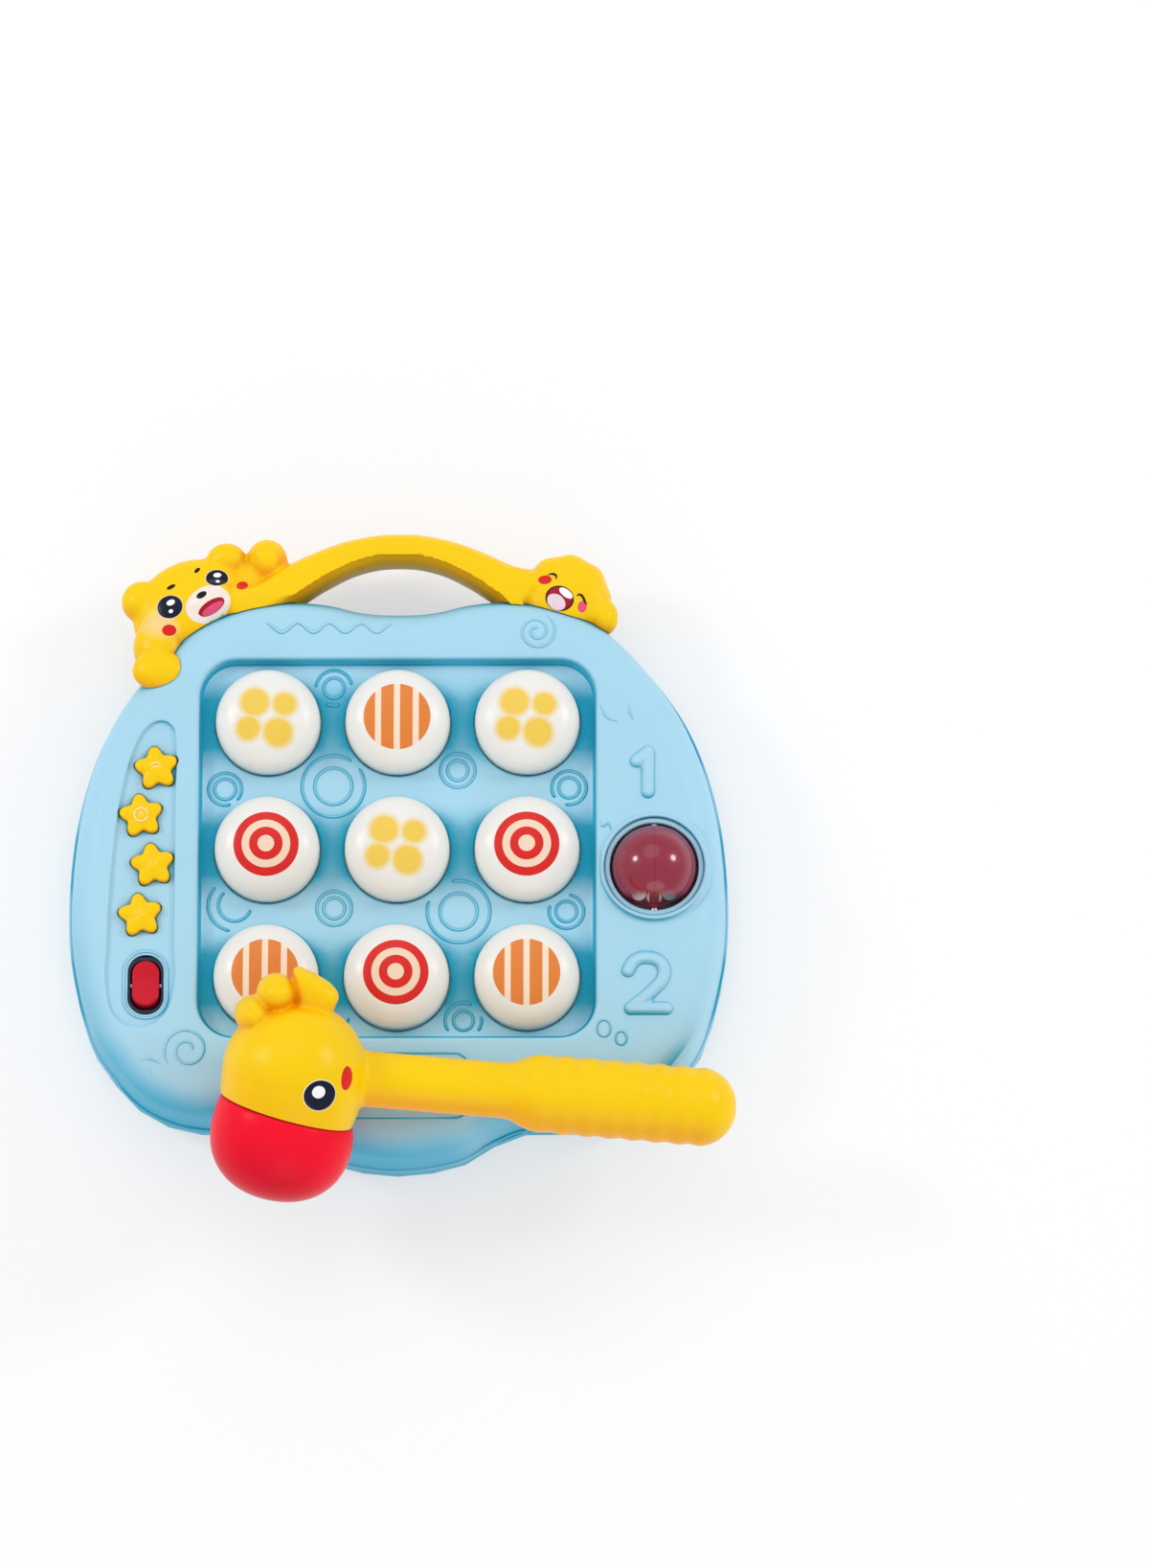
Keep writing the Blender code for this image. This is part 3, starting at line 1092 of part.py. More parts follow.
def mallet_place():
    """The mallet's height and the angle its handle droops by, as its head and its grip touch the console."""
    heading = Vector((math.cos(MALLET_TURN), math.sin(MALLET_TURN)))
    head = Vector((MALLET_X, MALLET_Y))
    cap_local = Matrix.Rotation(MALLET_TURN, 4, "Z") @ Matrix.Rotation(MALLET_ROLL, 4, "X") @ CAP_CENTRE
    heights = [rest_height(head, MALLET_HEAD_RADIUS) or 0]
    heights.append((rest_height(head + cap_local.to_2d(), MALLET_CAP_RADIUS) or 0) - cap_local.z)
    height = max(heights)
    steepest = MALLET_STEEPEST
    for step in range(MALLET_STATIONS + 1):
        reach = GRIP_START + GRIP_LENGTH * step / MALLET_STATIONS
        under = rest_height(head + heading * reach, GRIP_RADIUS)
        if under is not None:
            steepest = min(steepest, math.atan2(height - under, reach))
    return height + CLEARANCE, steepest


def grip_profile():
    """Radius and distance along the handle, from inside the head to the round end of the grip."""
    profile = [(0, 0), (SHAFT_RADIUS, 0), (SHAFT_RADIUS, GRIP_START)]
    low = GRIP_RADIUS - GRIP_RIB_DEPTH
    profile.append((low - GRIP_RIB_DEPTH, GRIP_START + GRIP_RIB_DEPTH))
    first = GRIP_START + GRIP_RIB_PITCH / 2
    slope = RIB_SLOPE_SHARE * GRIP_RIB_PITCH
    for rib in range(GRIP_RIBS):
        middle = first + rib * GRIP_RIB_PITCH + slope
        profile += [(low, middle - slope), (GRIP_RADIUS, middle + slope)]
    end = GRIP_START + GRIP_LENGTH
    profile += [(radius, height) for radius, height in arc((0, end - low), low, 0, math.pi / 2, 4)[:-1]]
    return profile + [(0, end)]


def build_mallet(yellow, red, metal):
    height, droop = mallet_place()
    hold = bpy.data.objects.new("mallet", None)
    bpy.context.collection.objects.link(hold)
    hold.location = (MALLET_X, MALLET_Y, height)
    lean = Matrix.Rotation(droop, 3, "Y") @ Matrix.Rotation(MALLET_ROLL, 3, "X")
    hold.rotation_euler = (Matrix.Rotation(MALLET_TURN, 3, "Z") @ lean).to_euler()

    along_x = Matrix.Rotation(math.pi / 2, 4, "Y")
    form = guide("mallet_form", ball((MALLET_HEAD_RADIUS,) * 3, 16, 10), parent=hold)
    join(form, guide("mallet_grip_form", turned(grip_profile(), 12, along_x), parent=hold))
    for index, (x, y) in enumerate(CREST_PLACE_SHARES):
        spot = (x * MALLET_HEAD_RADIUS, y * MALLET_HEAD_RADIUS, 0)
        radii = (CREST_RADIUS * CREST_FLAT_SHARE, CREST_RADIUS * CREST_FLAT_SHARE, CREST_RADIUS)
        join(form, guide(f"crest_{index + 1}", ball(radii, 8, 6), spot, hold))
    spot = (*(share * MALLET_HEAD_RADIUS for share in CREST_BASE_PLACE_SHARES), 0)
    radii = (*(share * MALLET_HEAD_RADIUS for share in CREST_BASE_SHARES), CREST_RADIUS)
    join(form, guide("crest_base", ball(radii, 10, 6), spot, hold))

    towards_cap = CAP_CENTRE.normalized()
    tilt = towards_cap.to_track_quat("Z", "Y").to_matrix().to_4x4()
    far = 2 * MALLET_HEAD_RADIUS
    wide = MALLET_HEAD_RADIUS + OVERRUN
    neck_end = CAP_EDGE + NECK_LENGTH
    trim = turned(
        ((NECK_RADIUS, CAP_EDGE), (wide, CAP_EDGE), (wide, far), (0, far), (0, neck_end),
         (NECK_RADIUS, neck_end)), 20, tilt)
    cut(form, guide("mallet_neck_cutter", trim, parent=hold))
    hollow = guide("mallet_hollow", ball((MALLET_HEAD_RADIUS - MALLET_WALL,) * 3, 12, 8), parent=hold)
    bore = bmesh.new()
    end = GRIP_START + GRIP_LENGTH - GRIP_RADIUS
    add_cylinder(bore, SHAFT_RADIUS - MALLET_WALL, (0, 0, 0), (end, 0, 0), 10)
    join(hollow, guide("mallet_bore", bore, parent=hold))
    keep = turned(
        ((0, CAP_EDGE - MALLET_WALL), (wide, CAP_EDGE - MALLET_WALL), (wide, far), (0, far)), 20, tilt)
    cut(hollow, guide("mallet_neck_solid", keep, parent=hold))
    bosses = bmesh.new()
    for x, y in mallet_screw_places():
        add_cylinder(bosses, MALLET_BOSS_RADIUS, (x, y, -MALLET_HEAD_RADIUS), (x, y, MALLET_HEAD_RADIUS), 10)
    cut(hollow, guide("mallet_bosses", bosses, parent=hold))
    cut(form, hollow)
    holes = bmesh.new()
    for x, y in mallet_screw_places():
        seat = Matrix.Translation((x, y, -MALLET_SCREW_DEPTH))
        bore_radius = SCREW_RADIUS + CLEARANCE
        profile = (
            (0, SCREW_LENGTH + CLEARANCE), (bore_radius, SCREW_LENGTH + CLEARANCE), (bore_radius, 0),
            (SCREW_HEAD_RADIUS + CLEARANCE, 0), (SCREW_HEAD_RADIUS + CLEARANCE, -far), (0, -far))
        hole = turned(profile[::-1], 10, seat)
        mesh = bpy.data.meshes.new("hole")
        hole.to_mesh(mesh)
        hole.free()
        holes.from_mesh(mesh)
        bpy.data.meshes.remove(mesh)
    cut(form, guide("mallet_screw_cutter", holes, parent=hold))

    reach = GRIP_START + GRIP_LENGTH + MALLET_HEAD_RADIUS
    for name, low, high in (("front", CLEARANCE / 2, reach), ("back", -reach, -CLEARANCE / 2)):
        bm = bmesh.new()
        add_box(bm, (-reach, -reach, low), (reach, reach, high))
        half = piece(f"mallet_shell_{name}", bm, yellow, parent=hold)
        shape_with(half, form, "INTERSECT")
    for index, (x, y) in enumerate(mallet_screw_places()):
        part = screw(SCREW_RADIUS, SCREW_LENGTH, SCREW_HEAD_RADIUS, SCREW_HEAD_HEIGHT)
        piece(f"mallet_screw_{index + 1}", part, metal, (x, y, -MALLET_SCREW_DEPTH - CLEARANCE), hold)

    inner_radius = MALLET_CAP_RADIUS - CAP_WALL
    cap = piece("mallet_strike_cap", ball((MALLET_CAP_RADIUS,) * 3, 16, 10), red, CAP_CENTRE, hold)
    cap_hollow = guide("cap_hollow", ball((inner_radius,) * 3, 12, 8), CAP_CENTRE, hold)
    room = turned(((0, -far), (far, -far), (far, CAP_EDGE + CAP_WALL), (0, CAP_EDGE + CAP_WALL)), 20, tilt)
    cut(cap_hollow, guide("cap_web", room, parent=hold))
    cut(cap, cap_hollow)
    mouth = turned(
        ((0, -far), (far, -far), (far, CAP_EDGE + CLEARANCE), (NECK_RADIUS + CLEARANCE, CAP_EDGE + CLEARANCE),
         (NECK_RADIUS + CLEARANCE, neck_end + OVERRUN), (0, neck_end + OVERRUN)), 20, tilt)
    cut(cap, guide("cap_mouth", mouth, parent=hold))


def mallet_screw_places():
    return [(0, 0), (GRIP_START + GRIP_LENGTH / 2, 0)]


def main():
    for old in list(bpy.data.objects):
        bpy.data.objects.remove(old)
    blue = plastic("ABS light blue", "A2DAF0")
    yellow = plastic("ABS yellow", "FFCB12")
    white = plastic("ABS translucent white", "EFEFEC", 0.25)
    red = plastic("ABS red", "D5142B")
    clear_red = plastic("clear crimson polystyrene", "B92A52", 0.08)
    dark = plastic("ABS dark grey", "2B2F36", 0.45)
    metal = plastic("zinc plated steel", "B9BCC0", 0.35, 1.0)
    board_green = plastic("green circuit board", "1F6B3A", 0.5)
    rubber = plastic("silicone rubber", "D9D6CF", 0.6)
    cell = plastic("battery sleeve", "3A3D42", 0.4)
    beads = [plastic("white bead", "F4F2EC"), plastic("beige bead", "E3C79A"), plastic("teal bead", "2FA79F")]

    build_front_shell(blue)
    build_back_shell(blue)
    build_battery_box(blue, cell, metal)
    build_shell_screws(metal)
    build_boards(board_green, metal, rubber)
    build_mole_buttons(white)
    build_star_buttons(yellow, rubber, board_green)
    build_rocker(red, dark, metal)
    build_rattle_ball(clear_red, beads, metal, blue)
    build_speaker(dark)
    build_handle(yellow)
    build_mallet(yellow, red, metal)


main()
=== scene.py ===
# %% [markdown]
# # Dressing a mole pounding game
# The CAD model holds every part of this toy at its true size and place, but with flat facets and plain
# colours. This notebook keeps that model as a fixed frame and builds the skins that the eye sees: smooth
# moulded shells, translucent domes with their prints, the carry handle with its two animals, and the mallet.
# Everything is in metres, in the frame's own axes: +Z out of the play face, +Y towards the handle.

# %% Load the frame
import math

import bmesh
import bpy
from mathutils import Matrix, Vector
from mathutils.bvhtree import BVHTree


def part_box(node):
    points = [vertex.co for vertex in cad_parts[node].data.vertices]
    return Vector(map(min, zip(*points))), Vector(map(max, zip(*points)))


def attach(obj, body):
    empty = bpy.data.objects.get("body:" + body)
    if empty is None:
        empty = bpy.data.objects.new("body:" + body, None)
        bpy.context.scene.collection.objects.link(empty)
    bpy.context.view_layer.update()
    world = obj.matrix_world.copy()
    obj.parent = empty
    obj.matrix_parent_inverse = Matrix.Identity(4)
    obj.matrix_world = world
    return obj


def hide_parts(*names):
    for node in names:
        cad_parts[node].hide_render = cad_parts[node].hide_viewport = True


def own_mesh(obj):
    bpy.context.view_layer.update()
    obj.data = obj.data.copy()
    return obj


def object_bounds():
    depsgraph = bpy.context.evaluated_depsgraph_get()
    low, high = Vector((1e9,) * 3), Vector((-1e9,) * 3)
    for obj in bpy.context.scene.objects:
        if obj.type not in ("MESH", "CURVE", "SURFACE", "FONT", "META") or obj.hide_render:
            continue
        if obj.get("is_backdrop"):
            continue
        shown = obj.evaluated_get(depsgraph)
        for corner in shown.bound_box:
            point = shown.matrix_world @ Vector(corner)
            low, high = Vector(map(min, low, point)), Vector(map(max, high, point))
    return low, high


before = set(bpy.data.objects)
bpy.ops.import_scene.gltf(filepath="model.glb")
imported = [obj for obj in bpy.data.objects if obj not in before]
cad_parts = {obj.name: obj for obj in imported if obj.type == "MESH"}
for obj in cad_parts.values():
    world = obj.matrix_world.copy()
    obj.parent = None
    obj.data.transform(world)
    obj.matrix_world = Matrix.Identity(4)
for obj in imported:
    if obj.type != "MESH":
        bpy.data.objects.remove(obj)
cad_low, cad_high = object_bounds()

MM = 0.001
print("CAD box in mm:", [round(side / MM, 1) for side in cad_high - cad_low])

# %% [markdown]
# ## Colours and nodes
# Paint charts and screens name colours in sRGB, while Blender mixes light in linear values, so one function
# turns a hex colour to linear. One more function adds a shader node with its settings, values and links,
# which keeps each material short enough to read like a recipe.


# %% Colour and node helpers
def linear(hex_colour):
    """An sRGB hex colour as linear RGBA."""
    channels = [int(hex_colour[at:at + 2], 16) / 255 for at in (0, 2, 4)]
    return (*(c / 12.92 if c <= 0.04045 else ((c + 0.055) / 1.055) ** 2.4 for c in channels), 1.0)


def add(tree, kind, values=None, links=None, **settings):
    """One node with its settings, the values of its inputs, and the sockets that feed it."""
    made = tree.nodes.new(kind)
    for name, value in settings.items():
        setattr(made, name, value)
    for socket, value in (values or {}).items():
        made.inputs[socket].default_value = value
    for socket, source in (links or {}).items():
        tree.links.new(source, made.inputs[socket])
    return made


# %% [markdown]
# ## Moulded plastic
# Nearly all of this toy is ABS, injection moulded. The tool is polished where the toy is glossy, and still
# leaves two things that the eye picks up: a faint orange peel about a millimetre across that breaks up the
# highlights, and flow marks some centimetres long that vary the colour by a hair. A principled shader with
# an index of 1.53 gives the plastic, and two noise textures in object space give the peel and the flow.

# %% A moulded plastic to start from
PEEL_SIZE = 1.4 * MM
FLOW_SIZE = 45 * MM
ABS_INDEX = 1.53


def moulded(name, hex_colour, roughness, peel=0.05, flow=0.04, index=ABS_INDEX):
    """A glossy or satin moulded plastic: the material, its tree, its shader and its colour socket."""
    material = bpy.data.materials.new(name)
    material.use_nodes = True
    tree = material.node_tree
    shader = tree.nodes["Principled BSDF"]
    shader.inputs["IOR"].default_value = index
    place = add(tree, "ShaderNodeTexCoord").outputs["Object"]
    streaks = add(tree, "ShaderNodeTexNoise", {"Scale": 1 / FLOW_SIZE, "Detail": 2.0}, {"Vector": place})
    value = add(tree, "ShaderNodeMapRange", {"To Min": 1 - flow, "To Max": 1 + flow},
                {"Value": streaks.outputs["Fac"]})
    tint = add(tree, "ShaderNodeHueSaturation", {"Color": linear(hex_colour)},
               {"Value": value.outputs["Result"]})
    tree.links.new(tint.outputs["Color"], shader.inputs["Base Color"])
    rough = add(tree, "ShaderNodeMapRange", {"To Min": roughness * 0.85, "To Max": roughness * 1.15},
                {"Value": streaks.outputs["Fac"]})
    tree.links.new(rough.outputs["Result"], shader.inputs["Roughness"])
    grain = add(tree, "ShaderNodeTexNoise", {"Scale": 1 / PEEL_SIZE, "Detail": 1.0}, {"Vector": place})
    bump = add(tree, "ShaderNodeBump", {"Strength": peel, "Distance": 0.1 * MM},
               {"Height": grain.outputs["Fac"]})
    tree.links.new(bump.outputs["Normal"], shader.inputs["Normal"])
    return material, tree, shader, tint.outputs["Color"]


# %% [markdown]
# ## Painted shade where light is lost
# In soft light this plastic looks deeper and richer in its creases, low in the recess and on the sides turned
# away from the lamps, because light passes there from plastic to plastic and each pass takes more of the
# other colours out. A few traced bounces show little of that, so shade is painted into the colour. It deepens
# with how far a point is hemmed in, broadly and in a crease, and with how far it faces the shaded side.

# %% A plastic with painted shade
CREASE = 3 * MM
BROAD_SHARES = (0.88, 0.66)
CREASE_SHARES = (0.8, 0.45)
SHADE_SIDE = (-0.35, -0.93, -0.1)
SHADE_SHARE = 0.9


def with_painted_shade(recipe, shade_colour, reach, strength, gloss=0.5, where=None):
    """Painted shade: a deeper colour where light is lost. A mask can say where the broad part counts."""
    material, tree, shader, colour = recipe
    shader.inputs["Specular IOR Level"].default_value = gloss
    facing = add(tree, "ShaderNodeVectorMath", {1: SHADE_SIDE},
                 {0: add(tree, "ShaderNodeTexCoord").outputs["Normal"]}, operation="DOT_PRODUCT")
    shaded = add(tree, "ShaderNodeMapRange",
                 {"From Min": 0.0, "From Max": 1.05, "To Max": strength * SHADE_SHARE},
                 {"Value": facing.outputs["Value"]}, interpolation_type="SMOOTHSTEP")
    amounts = []
    for distance, (open_share, shut_share) in ((reach, BROAD_SHARES), (CREASE, CREASE_SHARES)):
        hemmed = add(tree, "ShaderNodeAmbientOcclusion", {"Distance": distance}, samples=12)
        amount = add(tree, "ShaderNodeMapRange",
                     {"From Min": open_share, "From Max": shut_share, "To Max": strength},
                     {"Value": hemmed.outputs["AO"]})
        amounts.append(amount.outputs["Result"])
    if where:
        masked = add(tree, "ShaderNodeMath", links={0: amounts[0], 1: where}, operation="MULTIPLY")
        amounts[0] = masked.outputs[0]
    most = add(tree, "ShaderNodeMath", links={0: amounts[0], 1: amounts[1]}, operation="MAXIMUM")
    most = add(tree, "ShaderNodeMath", links={0: most.outputs[0], 1: shaded.outputs[0]}, operation="MAXIMUM")
    # Painted shade: the colour is mixed towards the shade colour by the largest of the three amounts.
    mixed = add(tree, "ShaderNodeMixRGB", {"Color2": linear(shade_colour)},
                {"Fac": most.outputs[0], "Color1": colour})
    tree.links.new(mixed.outputs["Color"], shader.inputs["Base Color"])
    return material


# %% The plastics of the shells
BLUE = ("ADDCEF", 0.42)
# Painted shade for each plastic: the deeper colour, its reach, its strength and the plastic's gloss.
BLUE_PAINTED_SHADE = ("0CA6C6", 30 * MM, 1.0, 0.14)
YELLOW = ("FFD000", 0.33, 0.03)
YELLOW_PAINTED_SHADE = ("F59400", 22 * MM, 0.75, 0.18)
light_blue_abs = with_painted_shade(moulded("light blue ABS, satin moulded", *BLUE), *BLUE_PAINTED_SHADE)
yellow_abs = with_painted_shade(moulded("yellow ABS, gloss moulded", *YELLOW), *YELLOW_PAINTED_SHADE)
# The red's painted shade deepens it towards A80A24 within 12 mm.
red_abs = with_painted_shade(moulded("red ABS, gloss moulded", "FC142E", 0.3, 0.03), "A80A24", 12 * MM, 0.6, 0.08)
dark_abs = moulded("dark navy ABS, matt moulded", "1D2746", 0.5)[0]
print("plastics:", [material.name for material in (light_blue_abs, yellow_abs, red_abs, dark_abs)])

# %% [markdown]
# ## Pad prints
# Eyes, cheeks and snouts are pad printed: a silicone pad stamps thick ink on the finished moulding. The ink
# is opaque, a little glossier than the plastic, and so thin that only its edge is felt.

# %% Inks
INK_GLOSS = 0.2
inks = {}
for name, colour, slot in (("navy", "10142C", "dark_abs"), ("black", "0E0B0B", "dark_abs"),
                           ("white", "FFFFFF", "dome_white"), ("cream", "FAEBDF", "dome_white"),
                           ("scarlet", "E0201F", "red_abs"), ("crimson", "A81228", "red_abs"),
                           ("pink", "E8507A", "red_abs"), ("pale pink", "F2D8E2", "dome_white"),
                           ("rose", "F0557A", "red_abs"), ("lemon", "FFE9A8", "yellow_abs")):
    inks[name], _, shader, _ = moulded(f"{name} pad printing ink", colour, 0.25, 0.02, 0.02)
    shader.inputs["Specular IOR Level"].default_value = INK_GLOSS
print("inks:", list(inks))

# %% [markdown]
# ## Turning meshes into pieces
# Every new piece is built in a bmesh, in its final place, and then becomes an object at the origin. The same
# short functions recalculate its normals, smooth it up to an angle, give it its finish, parent it to an empty
# for the body that it rides on, and hide the CAD nodes that it stands for.


# %% Piece helpers
def as_object(name, bm):
    """A bmesh, used up, as an object at the origin."""
    bmesh.ops.remove_doubles(bm, verts=bm.verts, dist=MM / 1000)
    bmesh.ops.recalc_face_normals(bm, faces=bm.faces)
    mesh = bpy.data.meshes.new(name)
    bm.to_mesh(mesh)
    bm.free()
    made = bpy.data.objects.new(name, mesh)
    bpy.context.scene.collection.objects.link(made)
    return made


def dress(made, material, body, replaced=(), sharp=35):
    """Give an object its finish and its body, and hide the nodes that it stands for."""
    made.data.materials.clear()
    made.data.materials.append(material)
    made.data.shade_smooth()
    made.data.set_sharp_from_angle(angle=math.radians(sharp))
    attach(made, body)
    if replaced:
        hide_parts(*replaced)
    print(f"{made.name}: {len(made.data.polygons)} faces")
    return made


def piece(name, bm, material, body, replaced=(), sharp=35):
    return dress(as_object(name, bm), material, body, replaced, sharp)


def all_of(bm):
    return bm.verts[:] + bm.edges[:] + bm.faces[:]


def merged(*parts):
    """Several bmeshes, used up, in one."""
    whole = bmesh.new()
    for part in parts:
        mesh = bpy.data.meshes.new("part")
        part.to_mesh(mesh)
        part.free()
        whole.from_mesh(mesh)
        bpy.data.meshes.remove(mesh)
    return whole


def bake(made):
    """Bake what an object's modifiers make into its own mesh."""
    bpy.context.view_layer.update()
    graph = bpy.context.evaluated_depsgraph_get()
    mesh = bpy.data.meshes.new_from_object(made.evaluated_get(graph))
    made.modifiers.clear()
    old, made.data = made.data, mesh
    bpy.data.meshes.remove(old)
    return made


def combine(made, tool, operation):
    """Cut, join or intersect an object with a bmesh, which is used up."""
    tool = as_object("tool", tool)
    modifier = made.modifiers.new("combine", "BOOLEAN")
    modifier.operation = operation
    modifier.solver = "EXACT"
    modifier.object = tool
    bake(made)
    bpy.data.objects.remove(tool)
    return made


# %% Round and stepped shapes
def arc(centre, radius, start, end, steps):
    """Points of a round stretch of a profile, by angles in degrees."""
    angles = [math.radians(start + (end - start) * step / steps) for step in range(steps + 1)]
    return [(centre[0] + radius * math.cos(a), centre[1] + radius * math.sin(a)) for a in angles]


AXIS_TURNS = {"Z": Matrix.Identity(4), "Y": Matrix.Rotation(-math.pi / 2, 4, "X"),
              "X": Matrix.Rotation(math.pi / 2, 4, "Y")}


def lathe(profile, centre=(0, 0, 0), segments=64, axis="Z"):
    """A closed profile of radius and height, turned round an axis through a point."""
    bm = bmesh.new()
    verts = [bm.verts.new((radius, 0, height)) for radius, height in profile]
    pairs = [pair for pair in zip(verts, verts[1:] + verts[:1]) if pair[0].co.x or pair[1].co.x]
    edges = [bm.edges.new(pair) for pair in pairs]
    bmesh.ops.spin(bm, geom=verts + edges, cent=(0, 0, 0), axis=(0, 0, 1), angle=math.tau,
                   steps=segments, use_merge=True)
    bm.transform(Matrix.Translation(centre) @ AXIS_TURNS[axis])
    return bm


def slab(ring, start, end):
    """A block on a ring of points from one height to another, and the face at its end."""
    bm = bmesh.new()
    face = bm.faces.new([bm.verts.new((point[0], point[1], start)) for point in ring])
    made = bmesh.ops.extrude_face_region(bm, geom=[face])
    last = next(part for part in made["geom"] if isinstance(part, bmesh.types.BMFace))
    bmesh.ops.translate(bm, vec=(0, 0, end - start), verts=last.verts)
    return bm, last


def stepped(bm, face, steps):
    """Inset a face and move it up or down, step by step."""
    for thickness, rise in steps:
        bmesh.ops.inset_region(bm, faces=[face], thickness=max(thickness, MM / 500), use_even_offset=True)
        bmesh.ops.translate(bm, vec=(0, 0, rise), verts=face.verts)
    return bm


def swollen(ring, middle, levels):
    """A ring of points drawn up through levels of share and height, each scaled about the middle."""
    bm = bmesh.new()
    face = bm.faces.new([bm.verts.new((point[0], point[1], levels[0][1])) for point in ring])
    for (before, low), (share, high) in zip(levels, levels[1:]):
        made = bmesh.ops.extrude_face_region(bm, geom=[face])
        face = next(part for part in made["geom"] if isinstance(part, bmesh.types.BMFace))
        bmesh.ops.scale(bm, vec=(share / before, share / before, 1), verts=face.verts,
                        space=Matrix.Translation((-middle[0], -middle[1], 0)))
        bmesh.ops.translate(bm, vec=(0, 0, high - low), verts=face.verts)
    return bm


def rolled(radius, count, sign=1, last=90):
    """Steps that roll over a round edge: the insets and the rises."""
    angles = [math.radians(last * at / count) for at in range(count + 1)]
    spans = [(radius * (math.cos(a) - math.cos(b)), radius * (math.sin(b) - math.sin(a)))
             for a, b in zip(angles, angles[1:])]
    return [(inset, sign * rise) for inset, rise in spans]


def pocket(ring, top_z, rim_radius, depth, fillet=0.0):
    """A cutter that opens with a round rim. Its ring is the pocket's wall, grown by the rim."""
    bm, bottom = slab(ring, top_z + 3 * MM, top_z)
    steps = [(rise, -inset) for inset, rise in rolled(rim_radius, 5)]
    steps.append((0, rim_radius + fillet - depth))
    return stepped(bm, bottom, steps + (rolled(fillet, 6, sign=-1) if fillet else []))


def rounded_ring(half_x, half_y, radius, centre, steps=10):
    """A rectangle with its corners bevelled round, as a ring of points."""
    bm = bmesh.new()
    bmesh.ops.create_grid(bm, x_segments=1, y_segments=1, size=1)
    bmesh.ops.scale(bm, vec=(half_x, half_y, 1), verts=bm.verts)
    bmesh.ops.bevel(bm, geom=bm.verts[:], offset=radius, offset_type="OFFSET", affect="VERTICES",
                    segments=steps, profile=0.5, material=-1)
    bm.faces.ensure_lookup_table()
    ring = [vert.co + Vector((*centre, 0)) for vert in bm.faces[0].verts]
    bm.free()
    return ring


# %% Curves through points
def curve_points(points, steps, closed=True):
    """Points of a smooth Bezier curve through a few points."""
    curve = bpy.data.curves.new("path", "CURVE")
    curve.dimensions = "3D"
    curve.resolution_u = steps
    spline = curve.splines.new("BEZIER")
    spline.bezier_points.add(len(points) - 1)
    for knot, point in zip(spline.bezier_points, points):
        knot.co = (*point, 0) if len(point) == 2 else point
        knot.handle_left_type = knot.handle_right_type = "AUTO"
    spline.use_cyclic_u = closed
    holder = bpy.data.objects.new("path", curve)
    mesh = holder.to_mesh()
    path = [vert.co.copy() for vert in mesh.vertices]
    bpy.data.objects.remove(holder)
    return path


def wire(points, radius, steps=4, closed=False, taper=0.35):
    """A smooth round line through points, drawn thin at its ends by the taper."""
    curve = bpy.data.curves.new("wire", "CURVE")
    curve.dimensions = "3D"
    curve.resolution_u = steps
    curve.bevel_depth = radius
    curve.bevel_resolution = 3
    curve.use_fill_caps = True
    spline = curve.splines.new("BEZIER")
    spline.bezier_points.add(len(points) - 1)
    for at, (knot, point) in enumerate(zip(spline.bezier_points, points)):
        knot.co = point
        knot.handle_left_type = knot.handle_right_type = "AUTO"
        knot.radius = taper if not closed and at in (0, len(points) - 1) else 1
    spline.use_cyclic_u = closed
    holder = bpy.data.objects.new("wire", curve)
    bm = bmesh.new()
    bm.from_mesh(holder.to_mesh())
    bpy.data.objects.remove(holder)
    return bm


# %% [markdown]
# ## The console's outline
# The console is a soft rounded shape with two shoulders, a dip under the handle and a chin. Its CAD shell is
# a ring of sixty points. Cutting that node with a level plane gives those points back, and a Bezier curve
# through them gives a line smooth enough for a highlight to run along.

# %% Trace the outline
SEAM_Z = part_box("front_shell")[0].z
FACE_Z = 42 * MM


def node_mesh(node):
    """A merged copy of a CAD node, in place."""
    bm = bmesh.new()
    bm.from_mesh(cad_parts[node].data)
    bmesh.ops.remove_doubles(bm, verts=bm.verts, dist=MM / 1000)
    return bm


def outer_loop(node, height):
    """The outermost line where a level plane cuts a CAD node, in order."""
    bm = node_mesh(node)
    bmesh.ops.bisect_plane(bm, geom=all_of(bm), plane_co=(0, 0, height), plane_no=(0, 0, 1),
                           clear_inner=True, clear_outer=True)
    bmesh.ops.dissolve_limit(bm, angle_limit=math.radians(0.2), verts=bm.verts, edges=bm.edges)
    ring = [max(bm.verts, key=lambda vert: vert.co.x)]
    while True:
        onward = [edge.other_vert(ring[-1]) for edge in ring[-1].link_edges]
        onward = [vert for vert in onward if vert not in ring]
        if not onward:
            break
        ring.append(onward[0])
    points = [vert.co.copy() for vert in ring]
    bm.free()
    return points


outline = curve_points(outer_loop("front_shell", SEAM_Z + MM), 4)
print("outline points:", len(outline))

# %% [markdown]
# ## The front shell
# The real shell is one moulding about two and a half millimetres thick: a round edge of 12 mm, a play recess
# 6 mm deep with soft rims, and a shallow tray for the star buttons. It starts as a flat face on the outline,
# which is inset and lifted in small steps to roll the edge over. The recess, the tray and all openings are
# cutters made in the same way from the top down, so their rims come out round without bevelling a cut edge.

# %% The outside and the hollow
LIP_WIDTH = 1.0 * MM
LIP_TOP = SEAM_Z + 2.2 * MM
SIDE_DRAFT = 1.6 * MM
EDGE_RADIUS = 12 * MM
EDGE_Z = FACE_Z - EDGE_RADIUS
WALL = 2.4 * MM
FLOOR_Z = 36 * MM
TRAY_Z = 40.5 * MM
recess_middle = (0, 11.3 * MM)
RECESS_HALF = (75 * MM, 72.5 * MM)
RECESS_RADIUS = 14 * MM
RECESS_RIM = 1.8 * MM

